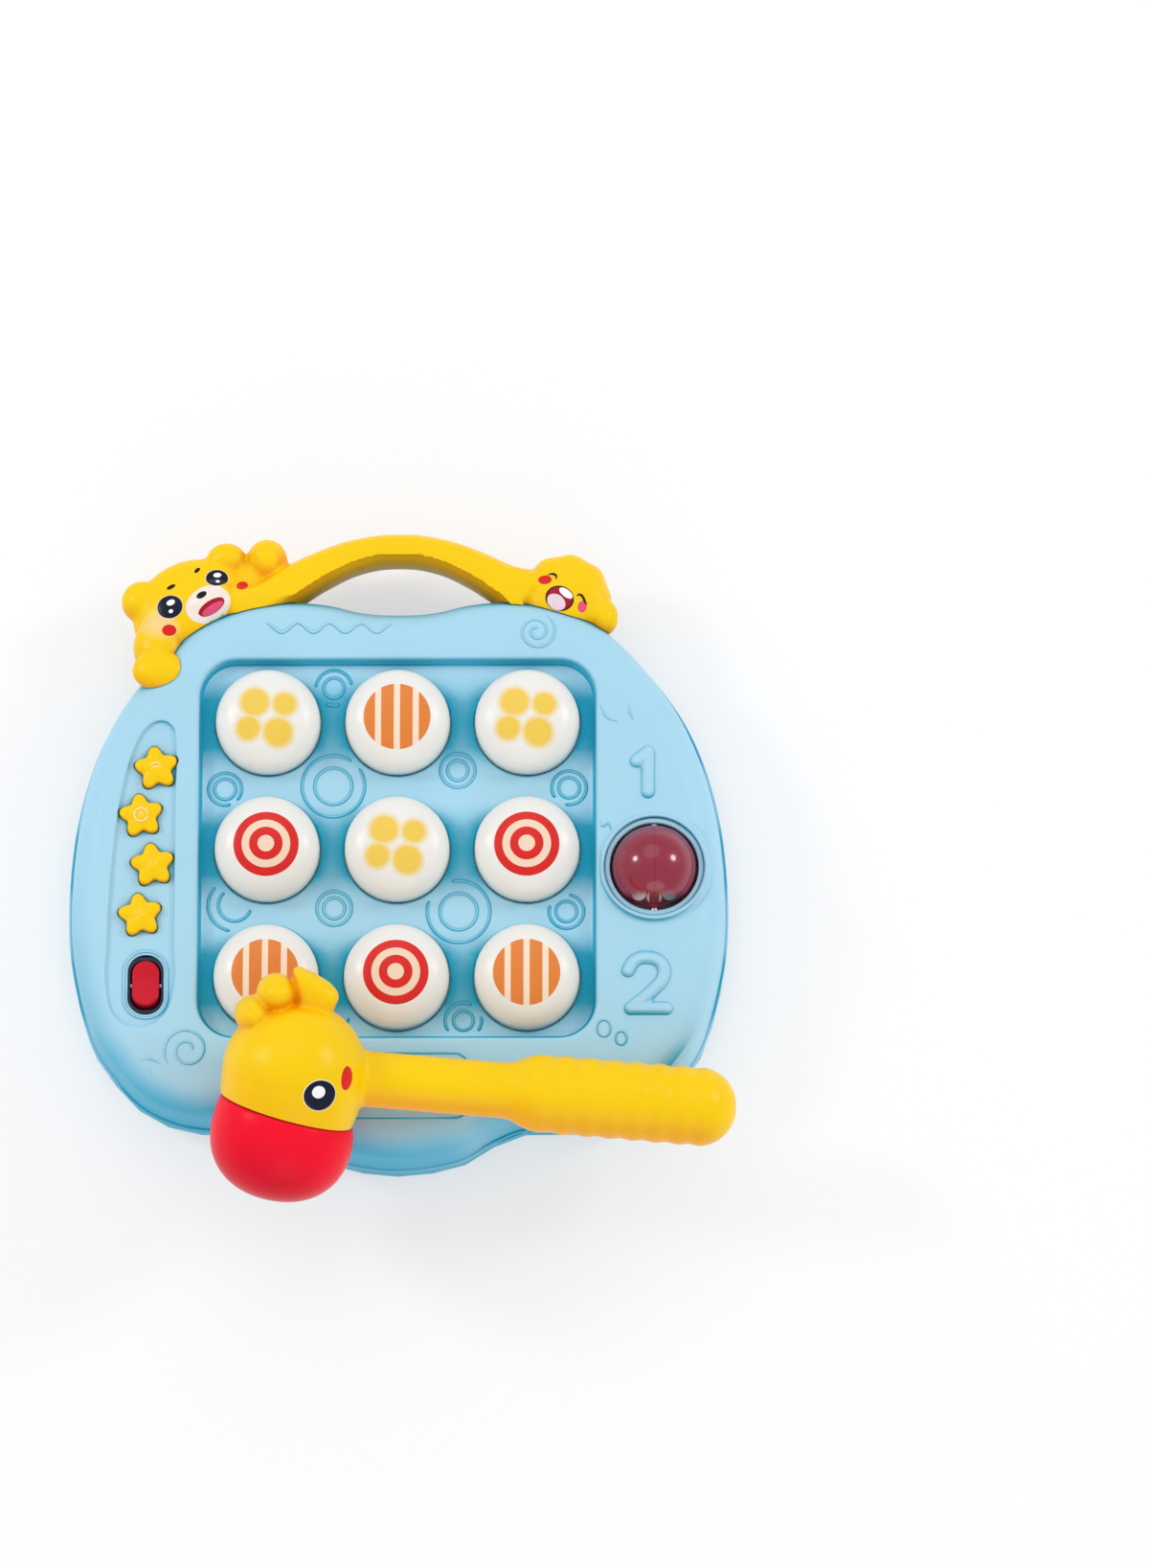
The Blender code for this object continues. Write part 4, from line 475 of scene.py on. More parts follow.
draft = [(SIDE_DRAFT / 2, (EDGE_Z - LIP_TOP) / 2)] * 2
front_form, top = slab(outline, SEAM_Z, LIP_TOP - 0.3 * MM)
stepped(front_form, top, [(0.1 * MM, 0.2 * MM), (0.2 * MM, 0.1 * MM), (LIP_WIDTH - 0.3 * MM, 0),
                          *draft, *rolled(EDGE_RADIUS, 12)])
front_shell = as_object("front_skin", front_form)

hollow, top = slab(outline, SEAM_Z - MM, SEAM_Z - 0.5 * MM)
stepped(hollow, top, [(LIP_WIDTH + WALL, 0), (SIDE_DRAFT, EDGE_Z - SEAM_Z + 0.5 * MM),
                      *rolled(EDGE_RADIUS - WALL, 4)])
cavity = as_object("cavity", hollow)


def recess_ring(grow):
    return rounded_ring(RECESS_HALF[0] + grow, RECESS_HALF[1] + grow, RECESS_RADIUS + grow, recess_middle)


combine(cavity, slab(recess_ring(WALL), FLOOR_Z - WALL, FACE_Z + MM)[0], "DIFFERENCE")

# %% The collar of the rattle ball
BALL = Vector((96.9, 3.72, 40.0)) * MM
BALL_RADIUS = 16 * MM
COLLAR_BORE = 18.8 * MM
COLLAR_RADIUS = 20.5 * MM
COLLAR_TOP = 44.2 * MM
COLLAR_LOW = 26 * MM
COLLAR_FOOT = 1.6 * MM
COLLAR_CREST = 0.8 * MM
ball_axis = (BALL.x, BALL.y, 0)
foot_radius = COLLAR_RADIUS + COLLAR_FOOT
collar = [(0, COLLAR_LOW), (COLLAR_RADIUS, COLLAR_LOW), (COLLAR_RADIUS, FACE_Z - 2 * MM),
          (foot_radius, FACE_Z - 0.4 * MM),
          *arc((foot_radius, FACE_Z + COLLAR_FOOT), COLLAR_FOOT, 270, 180, 6),
          *arc((COLLAR_RADIUS - COLLAR_CREST, COLLAR_TOP - COLLAR_CREST), COLLAR_CREST, 0, 90, 5),
          (0, COLLAR_TOP)]
room = COLLAR_RADIUS + 0.1 * MM
room_form = [(0, COLLAR_LOW), (room, COLLAR_LOW), (room, FACE_Z + MM), (0, FACE_Z + MM)]
combine(cavity, lathe(room_form, ball_axis), "DIFFERENCE")
hollow = bmesh.new()
hollow.from_mesh(cavity.data)
bpy.data.objects.remove(cavity)
combine(front_shell, hollow, "DIFFERENCE")
combine(front_shell, lathe(collar, ball_axis), "UNION")

# %% The recess, the tray and the openings
TRAY_RIM = 0.9 * MM
TRAY_POINTS = ((-83.2, -44.0), (-87.2, -53.6), (-96.5, -58.0), (-105.6, -54.4), (-109.6, -44.0),
               (-109.5, -24.0), (-108.7, -4.0), (-107.0, 16.0), (-104.4, 34.0), (-100.0, 50.0), (-95.6, 57.8),
               (-89.6, 61.0), (-84.4, 58.4), (-83.0, 52.0), (-83.0, 30.0), (-83.0, 0.0), (-83.0, -24.0))
tray_ring = curve_points([(x * MM, y * MM) for x, y in TRAY_POINTS], 6)
recess = pocket(recess_ring(RECESS_RIM), FACE_Z, RECESS_RIM, FACE_Z - FLOOR_Z, 2.6 * MM)
combine(front_shell, recess, "DIFFERENCE")
combine(front_shell, pocket(tray_ring, FACE_Z, TRAY_RIM, FACE_Z - TRAY_Z, 0.6 * MM), "DIFFERENCE")

DOME_RADIUS = 19.75 * MM
STAR_RADIUS = 8.35 * MM
STAR_TILT = math.radians(-8)
STAR_DIP = 0.155
STAR_PLUMPNESS = 0.006
STAR_PLACES = ((-90.93, 42.01), (-96.5, 23.74), (-91.99, 4.81), (-96.5, -14.44))
ROCKER = Vector((-94.1945, -40.9107, 37.4386)) * MM
dome_nodes = [f"mole_button_{index}" for index in range(1, 10)]
star_nodes = [f"star_button_{index}" for index in range(1, 5)]
star_middles = [Vector((x * MM, y * MM, 0)) for x, y in STAR_PLACES]


def middle(node):
    low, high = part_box(node)
    return (low + high) / 2


def round_ring(centre, radius, points=64):
    """A circle as a ring of points."""
    return [Vector((x, y, 0)) for x, y in arc(centre.xy, radius, 0, 360 - 360 / points, points - 1)]


def star_ring(radius, centre, points=100):
    """A five-pointed star with round tips and dips, as a ring of points."""
    ring = []
    for angle in (math.tau * at / points for at in range(points)):
        dips = STAR_DIP * (1 - math.cos(5 * angle)) - STAR_PLUMPNESS * (1 - math.cos(10 * angle))
        turn = angle + STAR_TILT
        ring.append(centre + radius * (1 - dips) * Vector((math.sin(turn), math.cos(turn), 0)))
    return ring


# %% The openings
THROUGH = WALL + 2 * MM
DOME_HOLE = DOME_RADIUS + 1.1 * MM
STAR_HOLE = STAR_RADIUS + 0.75 * MM
openings = []
for node in dome_nodes:
    openings.append(pocket(round_ring(middle(node), DOME_HOLE), FLOOR_Z, 0.6 * MM, THROUGH))
for spot in star_middles:
    openings.append(pocket(star_ring(STAR_HOLE, spot), TRAY_Z, 0.4 * MM, THROUGH))
slot_ring = rounded_ring(7.15 * MM, 11.7 * MM, 6.8 * MM, (ROCKER.x, ROCKER.y))
openings.append(pocket(slot_ring, TRAY_Z, 0.4 * MM, THROUGH))
bore_ring = round_ring(BALL, COLLAR_BORE + 0.8 * MM)
openings.append(pocket(bore_ring, COLLAR_TOP, 0.8 * MM, COLLAR_TOP - COLLAR_LOW + 2 * MM))

GRILLE_Y = -79.5 * MM
SLOT_PITCH = 5.72 * MM
SLOT_HALF = 7.9 * MM
for index in range(10):
    reach = SLOT_HALF * (0.7 if index in (0, 9) else 1) + 0.3 * MM
    ring = rounded_ring(1.35 * MM, reach, 0.9 * MM, ((index - 4.5) * SLOT_PITCH, GRILLE_Y), 4)
    openings.append(pocket(ring, FACE_Z, 0.3 * MM, THROUGH))
print("openings:", len(openings))
combine(front_shell, merged(*openings), "DIFFERENCE")

# %% The finish of the front shell
# Painted shade on the recess: its broad part counts on the floor only in bands level with the rows of domes,
# and at the foot of the wall, fading out from 0.8 to 4.8 mm above the floor, and nowhere higher up.
top_row = middle("mole_button_1").y
ROW_PITCH = (top_row - middle("mole_button_7").y) / 2
recipe = moulded("light blue ABS with painted row shade", *BLUE)
tree = recipe[1]
place = add(tree, "ShaderNodeTexCoord").outputs["Object"]
across = add(tree, "ShaderNodeSeparateXYZ", links={0: place}).outputs
rows = add(tree, "ShaderNodeMath", {1: top_row}, {0: across["Y"]}, operation="SUBTRACT")
turns = add(tree, "ShaderNodeMath", {1: math.tau / ROW_PITCH}, {0: rows.outputs[0]}, operation="MULTIPLY")
wave = add(tree, "ShaderNodeMath", links={0: turns.outputs[0]}, operation="COSINE")
on_row = add(tree, "ShaderNodeMapRange", {"From Min": -0.75, "From Max": 0.35}, {"Value": wave.outputs[0]})
on_wall = add(tree, "ShaderNodeMath", {1: FLOOR_Z + 0.4 * MM}, {0: across["Z"]}, operation="GREATER_THAN")
row_shade = add(tree, "ShaderNodeMath", links={0: on_row.outputs[0], 1: on_wall.outputs[0]}, operation="MAXIMUM")
low = add(tree, "ShaderNodeMapRange", {"From Min": FLOOR_Z + 4.8 * MM, "From Max": FLOOR_Z + 0.8 * MM},
          {"Value": across["Z"]})
row_shade = add(tree, "ShaderNodeMath", links={0: row_shade.outputs[0], 1: low.outputs[0]}, operation="MULTIPLY")
shell_abs = with_painted_shade(recipe, *BLUE_PAINTED_SHADE, row_shade.outputs[0])
dress(front_shell, shell_abs, "console", ["front_shell"])

# %% [markdown]
# ## Plain parts, refined
# The back shell, the battery door and other parts that mostly face away keep the CAD's own shape. A copy of
# each node is merged into one skin, its flat facets are joined, and its sharp edges get the small round that
# every moulding has, because a tool can't be cut perfectly sharp.


# %% Refined copies
def refined(node, material, body, radius=0.35 * MM, segments=2, sharp=32):
    bm = node_mesh(node)
    bmesh.ops.dissolve_limit(bm, angle_limit=math.radians(1.5), verts=bm.verts, edges=bm.edges)
    corners = [edge for edge in bm.edges if edge.is_manifold and edge.calc_face_angle() > math.radians(40)]
    bmesh.ops.bevel(bm, geom=corners, offset=radius, offset_type="OFFSET", affect="EDGES", segments=segments,
                    profile=0.5, material=-1, clamp_overlap=True)
    return piece(f"{node}_skin", bm, material, body, [node], sharp)


refined("back_shell", light_blue_abs, "console")
refined("battery_door", light_blue_abs, "console")

# %% [markdown]
# ## The domes
# Nine caps of milky ABS stand in the recess. Each is a straight-sided cup with a soft crown, moulded thin so
# that the lamp under it lights it up, and pad printed in one of three patterns. The print is a pattern in the
# material that reads how far each point lies from its dome's middle, stored on the mesh in millimetres.

# %% Milky plastic with a print
MILK = "F5F1EA"


def milky(name):
    """White ABS that lets some light through: its recipe, and the place on the dome in mm."""
    recipe = moulded(name, MILK, 0.3, 0.03, 0.015)
    for socket, value in (("Specular IOR Level", 0.35), ("Subsurface Weight", 0.2),
                          ("Subsurface Scale", 2.5 * MM)):
        recipe[2].inputs[socket].default_value = value
    place = add(recipe[1], "ShaderNodeAttribute", attribute_name="from_middle")
    return recipe, place.outputs["Vector"]


def radius_of(tree, place):
    flat = add(tree, "ShaderNodeVectorMath", {1: (1, 1, 0)}, {0: place}, operation="MULTIPLY")
    return add(tree, "ShaderNodeVectorMath", links={0: flat.outputs[0]}, operation="LENGTH").outputs["Value"]


def print_over(recipe, mask, ink):
    """Lay an ink colour over a milky plastic where a mask is one."""
    material, tree, shader, colour = recipe
    mixed = add(tree, "ShaderNodeMixRGB", links={"Fac": mask, "Color1": colour, "Color2": ink})
    tree.links.new(mixed.outputs["Color"], shader.inputs["Base Color"])
    return material


# %% The target
TARGET_RADII = (3.1, 6.3, 9.1, 12.3)
TARGET_SPAN = 20.0
recipe, place = milky("milky ABS with a target print")
tree = recipe[1]
scaled = add(tree, "ShaderNodeMath", {1: TARGET_SPAN}, {0: radius_of(tree, place)}, operation="DIVIDE")
rings = add(tree, "ShaderNodeValToRGB", links={"Fac": scaled.outputs[0]})
rings.color_ramp.interpolation = "CONSTANT"
stops = rings.color_ramp.elements
while len(stops) <= len(TARGET_RADII):
    stops.new(0.5)
for stop, radius, colour in zip(stops, (0, *TARGET_RADII), ("FBDCC0", "E01C14", "FBDCC0", "E01C14", MILK)):
    stop.position = radius / TARGET_SPAN
    stop.color = linear(colour)
inside = add(tree, "ShaderNodeMath", {1: TARGET_RADII[-1]}, {0: radius_of(tree, place)},
             operation="LESS_THAN")
target_abs = print_over(recipe, inside.outputs[0], rings.outputs["Color"])

# %% The stripes
STRIPE_PITCH = 7.1
STRIPE_GAP = 1.15
STRIPED_RADIUS = 12.65
recipe, place = milky("milky ABS with a striped print")
tree = recipe[1]
across = add(tree, "ShaderNodeSeparateXYZ", links={0: place})
wave = add(tree, "ShaderNodeMath", {1: STRIPE_PITCH / 2}, {0: across.outputs["X"]}, operation="PINGPONG")
bars = add(tree, "ShaderNodeMath", {1: STRIPE_GAP}, {0: wave.outputs[0]}, operation="GREATER_THAN")
ink = add(tree, "ShaderNodeMixRGB", {"Color1": linear("FFE6CC"), "Color2": linear("EA8532")},
          {"Fac": bars.outputs[0]})
inside = add(tree, "ShaderNodeMath", {1: STRIPED_RADIUS}, {0: radius_of(tree, place)}, operation="LESS_THAN")
striped_abs = print_over(recipe, inside.outputs[0], ink.outputs["Color"])

# %% The spots
SPOTS = ((-4.6, 5.4, 6.4), (6.6, 4.6, 5.4), (-7.0, -4.6, 5.5), (4.2, -6.2, 6.4))
recipe, place = milky("milky ABS with a spotted print")
tree = recipe[1]
masks = []
for x, y, radius in SPOTS:
    moved = add(tree, "ShaderNodeVectorMath", {1: (-x, -y, 0)}, {0: place}, operation="ADD")
    soft = add(tree, "ShaderNodeMapRange", {"From Min": radius + 0.8, "From Max": radius - 1.8},
               {"Value": radius_of(tree, moved.outputs[0])})
    masks.append(soft.outputs["Result"])
mask = masks[0]
for other in masks[1:]:
    mask = add(tree, "ShaderNodeMath", links={0: mask, 1: other}, operation="MAXIMUM").outputs[0]
ink = add(tree, "ShaderNodeRGB")
ink.outputs[0].default_value = linear("F8D052")
spotted_abs = print_over(recipe, mask, ink.outputs[0])
print("prints:", target_abs.name, striped_abs.name, spotted_abs.name)

# %% Turn the domes
DOME_WALL = 1.7 * MM
DOME_SQUARE = 0.84
FLANGE = {"radius": 21.65 * MM, "low": 31.9 * MM, "high": 33.3 * MM}
SKIRT_Z = 40 * MM
CROWN = 10.4 * MM
PLUNGER = {"radius": 3.5 * MM, "low": 29.9 * MM}


def crown(radius, height, steps):
    """From the straight side to the middle of the crown, a little squarer than an ellipse."""
    curve = []
    for turn in (math.radians(90 * at / steps) for at in range(steps)):
        rise = height * math.sin(turn) ** DOME_SQUARE
        curve.append((radius * math.cos(turn) ** DOME_SQUARE, SKIRT_Z + rise))
    return [*curve, (0, SKIRT_Z + height)]


inner = crown(DOME_RADIUS - DOME_WALL, CROWN - DOME_WALL, 12)
dome = [(DOME_RADIUS - DOME_WALL, FLANGE["low"]), (FLANGE["radius"], FLANGE["low"]),
        (FLANGE["radius"], FLANGE["high"]), (DOME_RADIUS, FLANGE["high"]), *crown(DOME_RADIUS, CROWN, 22),
        (0, PLUNGER["low"]), (PLUNGER["radius"], PLUNGER["low"]),
        (PLUNGER["radius"], SKIRT_Z + CROWN - 2.2 * MM)]
dome += [point for point in reversed(inner) if point[0] > PLUNGER["radius"]]
prints = [spotted_abs, striped_abs, spotted_abs, target_abs, spotted_abs, target_abs,
          striped_abs, target_abs, striped_abs]
for index, (node, material) in enumerate(zip(dome_nodes, prints), 1):
    spot = middle(node)
    bm = lathe(dome, (spot.x, spot.y, 0), 72)
    made = piece(f"mole_{index}_skin", bm, material, f"mole_{index}", [node])
    from_middle = made.data.attributes.new("from_middle", "FLOAT_VECTOR", "POINT")
    for vert, value in zip(made.data.vertices, from_middle.data):
        value.vector = ((vert.co.x - spot.x) / MM, (vert.co.y - spot.y) / MM, 0)

# %% [markdown]
# ## The star buttons
# Four plump stars in yellow ABS stand through the tray on a hidden flange. They start as a flat star, which
# is drawn up again and again, each time a little smaller, until it is a soft pillow. The faint marks on them
# are thin raised lines.

# %% Stars
STAR_TOP = 43.8 * MM
STAR_REST = 39.3 * MM
STAR_FLANGE = 1 + 0.9 * MM / STAR_RADIUS
edge = [(1 - 0.2 * (1 - math.cos(a)), STAR_TOP - 2.3 * MM + 1.5 * MM * math.sin(a))
        for a in (math.radians(15 * at) for at in range(7))]
levels = [(STAR_FLANGE, STAR_REST - 1.4 * MM), (STAR_FLANGE, STAR_REST), (1, STAR_REST), *edge,
          (0.6, STAR_TOP - 0.4 * MM), (0.35, STAR_TOP - 0.1 * MM), (0.08, STAR_TOP)]
for index, (node, spot) in enumerate(zip(star_nodes, star_middles), 1):
    bm = swollen(star_ring(STAR_RADIUS * STAR_FLANGE, spot), spot, levels)
    piece(f"star_{index}_skin", bm, yellow_abs, f"star_{index}", [node], sharp=50)

# %% Faint marks on the stars
MARK_Z = STAR_TOP - 0.12 * MM
MARKS = ((((-2.6, 0.4), (-0.6, 1.8), (1.8, 1.2)), ((-1.8, -0.6), (0.2, 0.2), (2.2, -0.2))),
         (arc((0, 0), 2.5, 0, 360, 12), ((-0.7, -0.5), (0.1, 0.8), (0.8, -0.5))),
         (((-1.6, -1.2), (-0.4, 1.2)), ((0.3, -1.0), (1.6, 1.4)), ((-1.4, 1.8), (-0.8, 2.2))),
         (((-2.0, 1.2), (-0.6, 0.2)), ((0.4, 2.0), (0.2, 0.4)), ((2.0, 0.0), (0.6, 0.0)),
          ((-1.0, -2.0), (-0.2, -0.4))))
for index, (spot, lines) in enumerate(zip(star_middles, MARKS), 1):
    forms = []
    for points in lines:
        forms.append(wire([spot + Vector((x * MM, y * MM, MARK_Z)) for x, y in points], 0.38 * MM))
    piece(f"star_{index}_mark", merged(*forms), inks["lemon"], f"star_{index}")

# %% [markdown]
# ## The rocker switch
# A red rocker tips on a steel pin inside a dark switch body. Its top is a shallow V whose raised half catches
# the light, so the block is stepped round at its rim and then each of its points is lifted by the V.

# %% Rocker and switch body
ROCKER_HALF = (5.2 * MM, 8.9 * MM)
ROCKER_DIP = 1.2 * MM
ROCKER_TURN = Matrix.Translation(ROCKER) @ Matrix.Rotation(math.radians(-8), 4, "X")
bm, top = slab(rounded_ring(*ROCKER_HALF, 5.0 * MM, (0, 0)), -2.2 * MM, 3.4 * MM)
stepped(bm, top, [*rolled(0.9 * MM, 5), (1.2 * MM, 0.1 * MM), (1.4 * MM, 0)])
bmesh.ops.bisect_plane(bm, geom=all_of(bm), plane_co=(0, 0, 0), plane_no=(0, 1, 0))
for vert in bm.verts:
    if vert.co.z > 0:
        vert.co.z += ROCKER_DIP * (min(abs(vert.co.y) / ROCKER_HALF[1], 1) - 1)
bm.transform(ROCKER_TURN)
# Painted shade: the rocker's red deepens towards 7C0618 in creases and on its shaded side.
rocker_abs = with_painted_shade(moulded("red ABS of the rocker", "CE1228", 0.3, 0.03), "7C0618", 12 * MM, 0.8, 0.16)
piece("rocker_skin", bm, rocker_abs, "rocker", ["rocker_button"])
refined("switch_body", dark_abs, "console")

# %% [markdown]
# ## The rattle ball
# Two clear crimson half shells of polystyrene, with three loose beads in them, spin on a steel axle in a cup.
# Crimson dye leaves the plastic clear, so the shells transmit, and at the foot, where the beads lie, the
# colour thins out. Little light is traced through two walls, so the beads give a little of their own instead.

# %% Clear crimson and bead finishes
CLEAR_FROM = BALL.y - 10.0 * MM
CLEAR_TO = BALL.y - 12.8 * MM
crimson, tree, shader, _ = moulded("clear crimson polystyrene", "A8123A", 0.3, 0.01, 0.02, index=1.59)
for socket, value in (("Specular IOR Level", 0.06), ("Transmission Weight", 0.3), ("Coat Weight", 1.0),
                      ("Coat Roughness", 0.1)):
    shader.inputs[socket].default_value = value
height = add(tree, "ShaderNodeSeparateXYZ", links={0: add(tree, "ShaderNodeTexCoord").outputs["Object"]})
thinned = add(tree, "ShaderNodeMapRange",
              {"From Min": CLEAR_FROM, "From Max": CLEAR_TO, "To Min": 1.0, "To Max": 0.2},
              {"Value": height.outputs["Y"]})
tree.links.new(thinned.outputs[0], shader.inputs["Alpha"])
steel, _, shader, _ = moulded("zinc plated steel", "B9BEC4", 0.3, 0.02, 0.05)
shader.inputs["Metallic"].default_value = 1
beads = {}
for name, colour in (("white", "F2EFEA"), ("beige", "D8C79A"), ("teal", "2FA9A4")):
    beads[name], _, shader, _ = moulded(f"{name} polystyrene bead", colour, 0.2, 0.02)
    # Painted light: each bead glows a little in its own colour.
    shader.inputs["Emission Color"].default_value = linear(colour)
    shader.inputs["Emission Strength"].default_value = 0.45

# %% Ball halves and beads
SEAM = 0.04 * MM
SHELL = 1.5 * MM
BEAD_RADIUS = 2.8 * MM
start = math.degrees(math.asin(SEAM / BALL_RADIUS))
half = arc((0, 0), BALL_RADIUS, start, 90, 24)[:-1] + [(0, BALL_RADIUS), (0, BALL_RADIUS - SHELL)]
half += arc((0, 0), BALL_RADIUS - SHELL, 90, start, 24)[1:]
for side, name in ((1, "right"), (-1, "left")):
    bm = lathe(half, (0, 0, 0), 64, "X")
    bmesh.ops.scale(bm, vec=(side, 1, 1), verts=bm.verts)
    bm.transform(Matrix.Translation(BALL))
    piece(f"ball_{name}_skin", bm, crimson, "rattle_ball", [f"rattle_ball_{name}"])
for index, name in enumerate(beads, 1):
    bm = bmesh.new()
    bmesh.ops.create_uvsphere(bm, u_segments=32, v_segments=20, radius=BEAD_RADIUS)
    bm.transform(Matrix.Translation(middle(f"bead_{index}")))
    piece(f"bead_{index}_skin", bm, beads[name], "rattle_ball", [f"bead_{index}"])

# %% Axle, sleeve and cup
low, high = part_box("ball_axle")
radius, half_length, edge = (high.x - low.x) / 2, (high.y - low.y) / 2, 0.3 * MM
axle = [(0, -half_length), (radius * 0.7, -half_length), (radius, edge - half_length),
        (radius, half_length - edge), (radius * 0.7, half_length), (0, half_length)]
piece("ball_axle_skin", lathe(axle, BALL, 24, "Y"), steel, "console", ["ball_axle"])
end = BALL_RADIUS * 0.98
inner, outer = radius + 0.1 * MM, radius + 0.4 * MM
sleeve = [(inner, -end), (outer, -end), (outer, end), (inner, end)]
piece("ball_sleeve_skin", lathe(sleeve, BALL, 24, "Y"), rocker_abs, "rattle_ball")

low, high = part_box("ball_socket")
CUP = {"inner": 16.7 * MM, "outer": 18.5 * MM, "top": high.z, "low": low.z, "flange": 20.5 * MM}
CUP_LIP = 0.6 * MM
brim = COLLAR_BORE - 0.1 * MM
cup = [(0, CUP["low"]), (CUP["outer"], CUP["low"]), (CUP["outer"], 24.1 * MM), (CUP["flange"], 24.1 * MM),
       (CUP["flange"], 25.7 * MM), (CUP["outer"], 25.7 * MM), (CUP["outer"], CUP["top"] - 2 * MM),
       (brim, CUP["top"] - 1.6 * MM), *arc((brim - CUP_LIP, CUP["top"] - CUP_LIP), CUP_LIP, 0, 90, 4),
       *arc((CUP["inner"] + CUP_LIP, CUP["top"] - CUP_LIP), CUP_LIP, 90, 180, 4), (CUP["inner"], BALL.z),
       *arc((0, BALL.z), CUP["inner"], 0, -80, 12), (0, BALL.z - CUP["inner"])]
cup_abs = moulded("light blue ABS of the cup", *BLUE)[0]
piece("ball_socket_skin", lathe(cup, ball_axis), cup_abs, "console", ["ball_socket"])

# %% [markdown]
# ## Soft forms
# The handle's animals and the mallet's head are sculpted shapes with no straight line in them. Each is a sum
# of a few swollen forms, melted together by a voxel remesh and relaxed, which leaves the soft valleys that a
# polished tool has. The halves are then cut apart along the moulding's parting line.


# %% Melt, cut and drape
def ball(centre, half_sizes, tilt=0.0, segments=48):
    """An egg with three half sizes, turned in the plane by degrees."""
    bm = bmesh.new()
    bmesh.ops.create_uvsphere(bm, u_segments=segments, v_segments=segments // 2, radius=1)
    bm.transform(Matrix.Translation(centre) @ Matrix.Rotation(math.radians(tilt), 4, "Z")
                 @ Matrix.Diagonal((*half_sizes, 1)))
    return bm


def cushioned(ring, centre, power, height, half):
    """A ring of points puffed up and down from its middle height, like a cushion."""
    turns = [math.radians(a) for a in range(-85, 86, 10)]
    levels = [(math.cos(a) ** power, height + half * math.sin(a)) for a in turns]
    start = [centre.xy + (point.xy - centre.xy) * levels[0][0] for point in ring]
    return swollen(start, centre, levels)


def melted(name, forms, voxel, relax):
    """Forms that overlap, melted into one skin."""
    made = as_object(name, merged(*forms))
    melt = made.modifiers.new("melt", "REMESH")
    melt.mode = "VOXEL"
    melt.voxel_size = voxel
    soften = made.modifiers.new("soften", "SMOOTH")
    soften.factor = 0.5
    soften.iterations = relax
    return bake(made)


def half_of(source, name, height, side, gap=0.1 * MM):
    """The part of an object above or below a height, closed with a flat face."""
    bm = bmesh.new()
    bm.from_mesh(source.data)
    bmesh.ops.bisect_plane(bm, geom=all_of(bm), plane_co=(0, 0, height + side * gap), plane_no=(0, 0, side),
                           clear_inner=True)
    bmesh.ops.edgeloop_fill(bm, edges=[edge for edge in bm.edges if edge.is_boundary])
    return as_object(name, bm)


def surface_of(made):
    bm = bmesh.new()
    bm.from_mesh(made.data)
    tree = BVHTree.FromBMesh(bm)
    bm.free()
    return tree


def drape(surface, frame_of, x, y):
    """The point where a line along a frame's own Z meets a surface."""
    start = frame_of @ Vector((x, y, 60 * MM))
    down = -(frame_of.to_3x3() @ Vector((0, 0, 1)))
    hit = surface.ray_cast(start, down)[0]
    return hit or surface.find_nearest(frame_of @ Vector((x, y, 0)))[0]


def pad(surface, frame_of, centre, half_sizes, tilt=0.0, thickness=0.15 * MM, top=1.0):
    """A thin print: a coin of ink that lies on a surface. A top below one flattens its upper half."""
    bm = bmesh.new()
    bmesh.ops.create_uvsphere(bm, u_segments=40, v_segments=14, radius=1)
    out = frame_of.to_3x3() @ Vector((0, 0, 1))
    turn = Matrix.Rotation(math.radians(tilt), 2)
    for vert in bm.verts:
        height = vert.co.y * half_sizes[1] * (top if vert.co.y > 0 else 1)
        spot = turn @ Vector((vert.co.x * half_sizes[0], height))
        rise = math.copysign(abs(vert.co.z) ** 0.4, vert.co.z) * thickness
        vert.co = drape(surface, frame_of, centre[0] + spot.x, centre[1] + spot.y) + out * rise
    return bm


def stroke(surface, frame_of, points, radius):
    """A printed line, given in mm, that lies on a surface."""
    return wire([drape(surface, frame_of, x * MM, y * MM) for x, y in points], radius)


def print_pieces(printed, owner, body):
    """One piece for each ink."""
    for ink, forms in printed.items():
        piece(f"{owner}_{ink.replace(' ', '_')}_print", merged(*forms), inks[ink], body)


# %% [markdown]
# ## The carry handle
# An arch wide enough for four fingers joins a bear that waves from the left and a maned animal at the right.
# The arch is a slab on its own line with rolled edges, the animals are eggs, and the whole is melted, cut
# clear of the console and parted at mid height into a front and a rear half.

# %% The arch
HANDLE_Z = 25 * MM
HEAD_Z = 27 * MM
HEAD_DEPTH = 10.5 * MM
ARCH_TOP = 129.8
ARCH_SPAN = 64.0
ARCH_DROP = 24
ARCH_SHARES = ((-1.0, 1.04, 8.6), (-0.80, 0.86, 8.2), (-0.62, 0.55, 7.6), (-0.45, 0.30, 6.9),
               (-0.24, 0.08, 6.2), (0, 0, 6.0), (0.24, 0.08, 6.2), (0.45, 0.30, 6.9), (0.62, 0.55, 7.8),
               (0.78, 0.78, 9.0))
path = [Vector((x * ARCH_SPAN, ARCH_TOP - y * ARCH_DROP)) * MM for x, y, _ in ARCH_SHARES]
sides = ([], [])
for at, (spot, (_, _, half_width)) in enumerate(zip(path, ARCH_SHARES)):
    along = (path[min(at + 1, len(path) - 1)] - path[max(at - 1, 0)]).normalized()
    across = Vector((-along.y, along.x)) * half_width * MM
    sides[0].append(spot + across)
    sides[1].append(spot - across)
arch_ring = curve_points([*sides[0], *reversed(sides[1])], 8)
handle_forms = []
